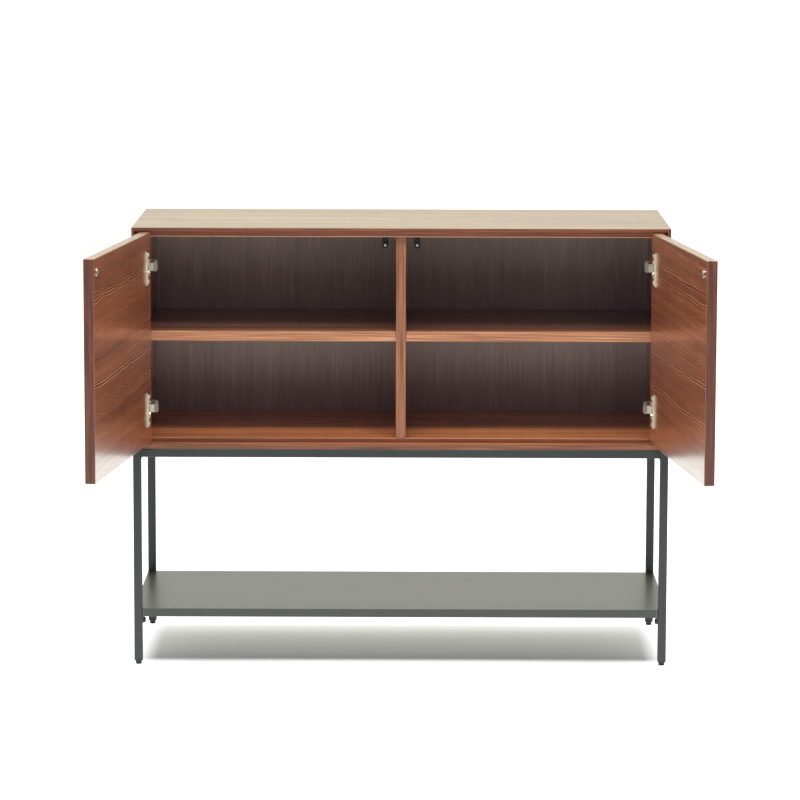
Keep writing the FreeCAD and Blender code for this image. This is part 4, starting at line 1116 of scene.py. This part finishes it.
WHITE = (1.0, 1.0, 1.0)
BLACK = (0.0, 0.0, 0.0)
FLOOR_SIZE = 80

# How bright the floor's glow is under the object, by the distance behind the case's front: held low
# there, it leaves a painted shadow of this shape over the cast shadow. The painted shadow has a little
# less blue, and fades out past the sides of the case.
FLOOR_GLOW_AND_SHADOW = ((-0.02, 1.0), (0.04, 0.09), (0.075, 0.14), (0.12, 0.23), (0.21, 0.34), (0.3, 0.46),
              (0.345, 0.56), (0.4, 1.0))
SHADE_BLUE = 0.92
SHADE_INSET = 0.037
SHADE_OUTSET = 0.013

# What the floor shows in reflections, by the distance behind the case's front: it is dark up to the
# first distance on the viewer's side and lit from the second, and far behind it has a cool tint.
DARK_TO = -2.2
LIT_FROM = -0.5
DARK_SHARE = 0.1
TINT_FROM = 1.2
TINT_FULL = 2.2
FAR_FLOOR_SHINE = (0.88, 1.08, 0.98)
LIT_FLOOR = (0.86, 0.86, 0.85)
DARK_FLOOR = (0.2, 0.2, 0.2)

# The lamp that stands for light off the floor lies this far in front of the case.
BOUNCE_DISTANCE = 2.1

# The dome's light at its rim and above, and its shine behind the object and on the viewer's side.
# Each pair of limits is a share of the direction, to the back and upwards.
DOME_SIDE_LIGHT = (0.34, 0.34, 0.34)
DOME_TOP_LIGHT = (0.56, 0.56, 0.56)
DOME_SHINE = rgb(233, 234, 221)
DOME_DARK = rgb(84, 82, 80)
DOME_BACKWARDS = (-0.5, 0.1)
DOME_UPWARDS = (-0.1, 0.8)


def make_floor():
    """A white floor whose glow is held low under the object as a painted shadow, over its cast shadow.
    Its shine fades on the viewer's side.
    """
    deselect()
    bpy.ops.mesh.primitive_plane_add(size=FLOOR_SIZE, location=(0, 0, 0))
    floor = bpy.context.active_object
    floor.name = "floor"
    finish = Finish("floor_white")
    x, y, z = finish.split(finish.place((0, CASE_FRONT, 0)))
    start, end = FLOOR_GLOW_AND_SHADOW[0][0], FLOOR_GLOW_AND_SHADOW[-1][0]
    stops = [(back - start) / (end - start) for back, glow in FLOOR_GLOW_AND_SHADOW]
    glows = [(glow, glow, glow if glow == 1 else glow * SHADE_BLUE) for back, glow in FLOOR_GLOW_AND_SHADOW]
    under = ((y - start) / (end - start)).ramp(stops, glows)
    outside = x.absolute().level(CASE_HALF - SHADE_INSET, CASE_HALF + SHADE_OUTSET)
    glow = finish.mix(outside, under, WHITE)
    straight, shine, through = finish.outputs(
        finish.node("ShaderNodeLightPath"), "Is Camera Ray", "Is Glossy Ray", "Is Transmission Ray")
    near = y.level(DARK_TO, LIT_FROM)
    seen = straight + (shine + through) * (near * (1 - DARK_SHARE) + DARK_SHARE)
    glow = finish.mix(shine * y.level(TINT_FROM, TINT_FULL), glow, FAR_FLOOR_SHINE)
    finish.set(Base_Color=finish.mix(shine * (1 - near), LIT_FLOOR, DARK_FLOOR),
               Roughness=0.9, Specular_IOR_Level=0.0,
               Emission_Color=finish.mix(seen, BLACK, glow), Emission_Strength=1.0)
    floor.data.materials.append(finish.material)


def make_world():
    """A dome whose light is even, and whose shine is dark on the viewer's side, as an unlit room is."""
    world = bpy.data.worlds.new("studio")
    bpy.context.scene.world = world
    world.use_nodes = True
    dome = Shading(world.node_tree)
    x, y, z = dome.split(dome.node("ShaderNodeTexCoord", output="Generated"))
    straight, glossy = dome.outputs(dome.node("ShaderNodeLightPath"), "Is Camera Ray", "Is Glossy Ray")
    shine = dome.mix(y.level(*DOME_BACKWARDS), DOME_DARK, DOME_SHINE)
    light = dome.mix(z.level(*DOME_UPWARDS), DOME_SIDE_LIGHT, DOME_TOP_LIGHT)
    seen = dome.mix(straight, dome.mix(glossy, light, shine), WHITE)
    dome.show("ShaderNodeOutputWorld", dome.node("ShaderNodeBackground", sockets={"Color": seen}))


def add_lamp(name, place, target, size, power, shine=True):
    data = bpy.data.lights.new(name, "AREA")
    data.shape = "RECTANGLE"
    data.size, data.size_y = size
    data.energy = power
    lamp = bpy.data.objects.new(name, data)
    lamp.location = place
    lamp.rotation_euler = (Vector(target) - Vector(place)).to_track_quat("-Z", "Y").to_euler()
    lamp.visible_camera = False
    lamp.visible_glossy = shine
    bpy.context.collection.objects.link(lamp)


make_camera()
make_floor()
make_world()
add_lamp("front_overhead", place=(0, -1.3, 2.6), target=(0, 0, 0.4), size=(2.6, 0.5), power=66)
add_lamp("floor_bounce", place=(0, CASE_FRONT - BOUNCE_DISTANCE, 0.02),
         target=(0, CASE_FRONT - BOUNCE_DISTANCE, 1), size=(3.6, 2.6), power=54, shine=False)
add_lamp("rear_overhead", place=(0, 2.2, 2.3), target=(0, 0, 0.1), size=(2.6, 1.4), power=14)

bpy.context.scene.view_settings.view_transform = "Standard"
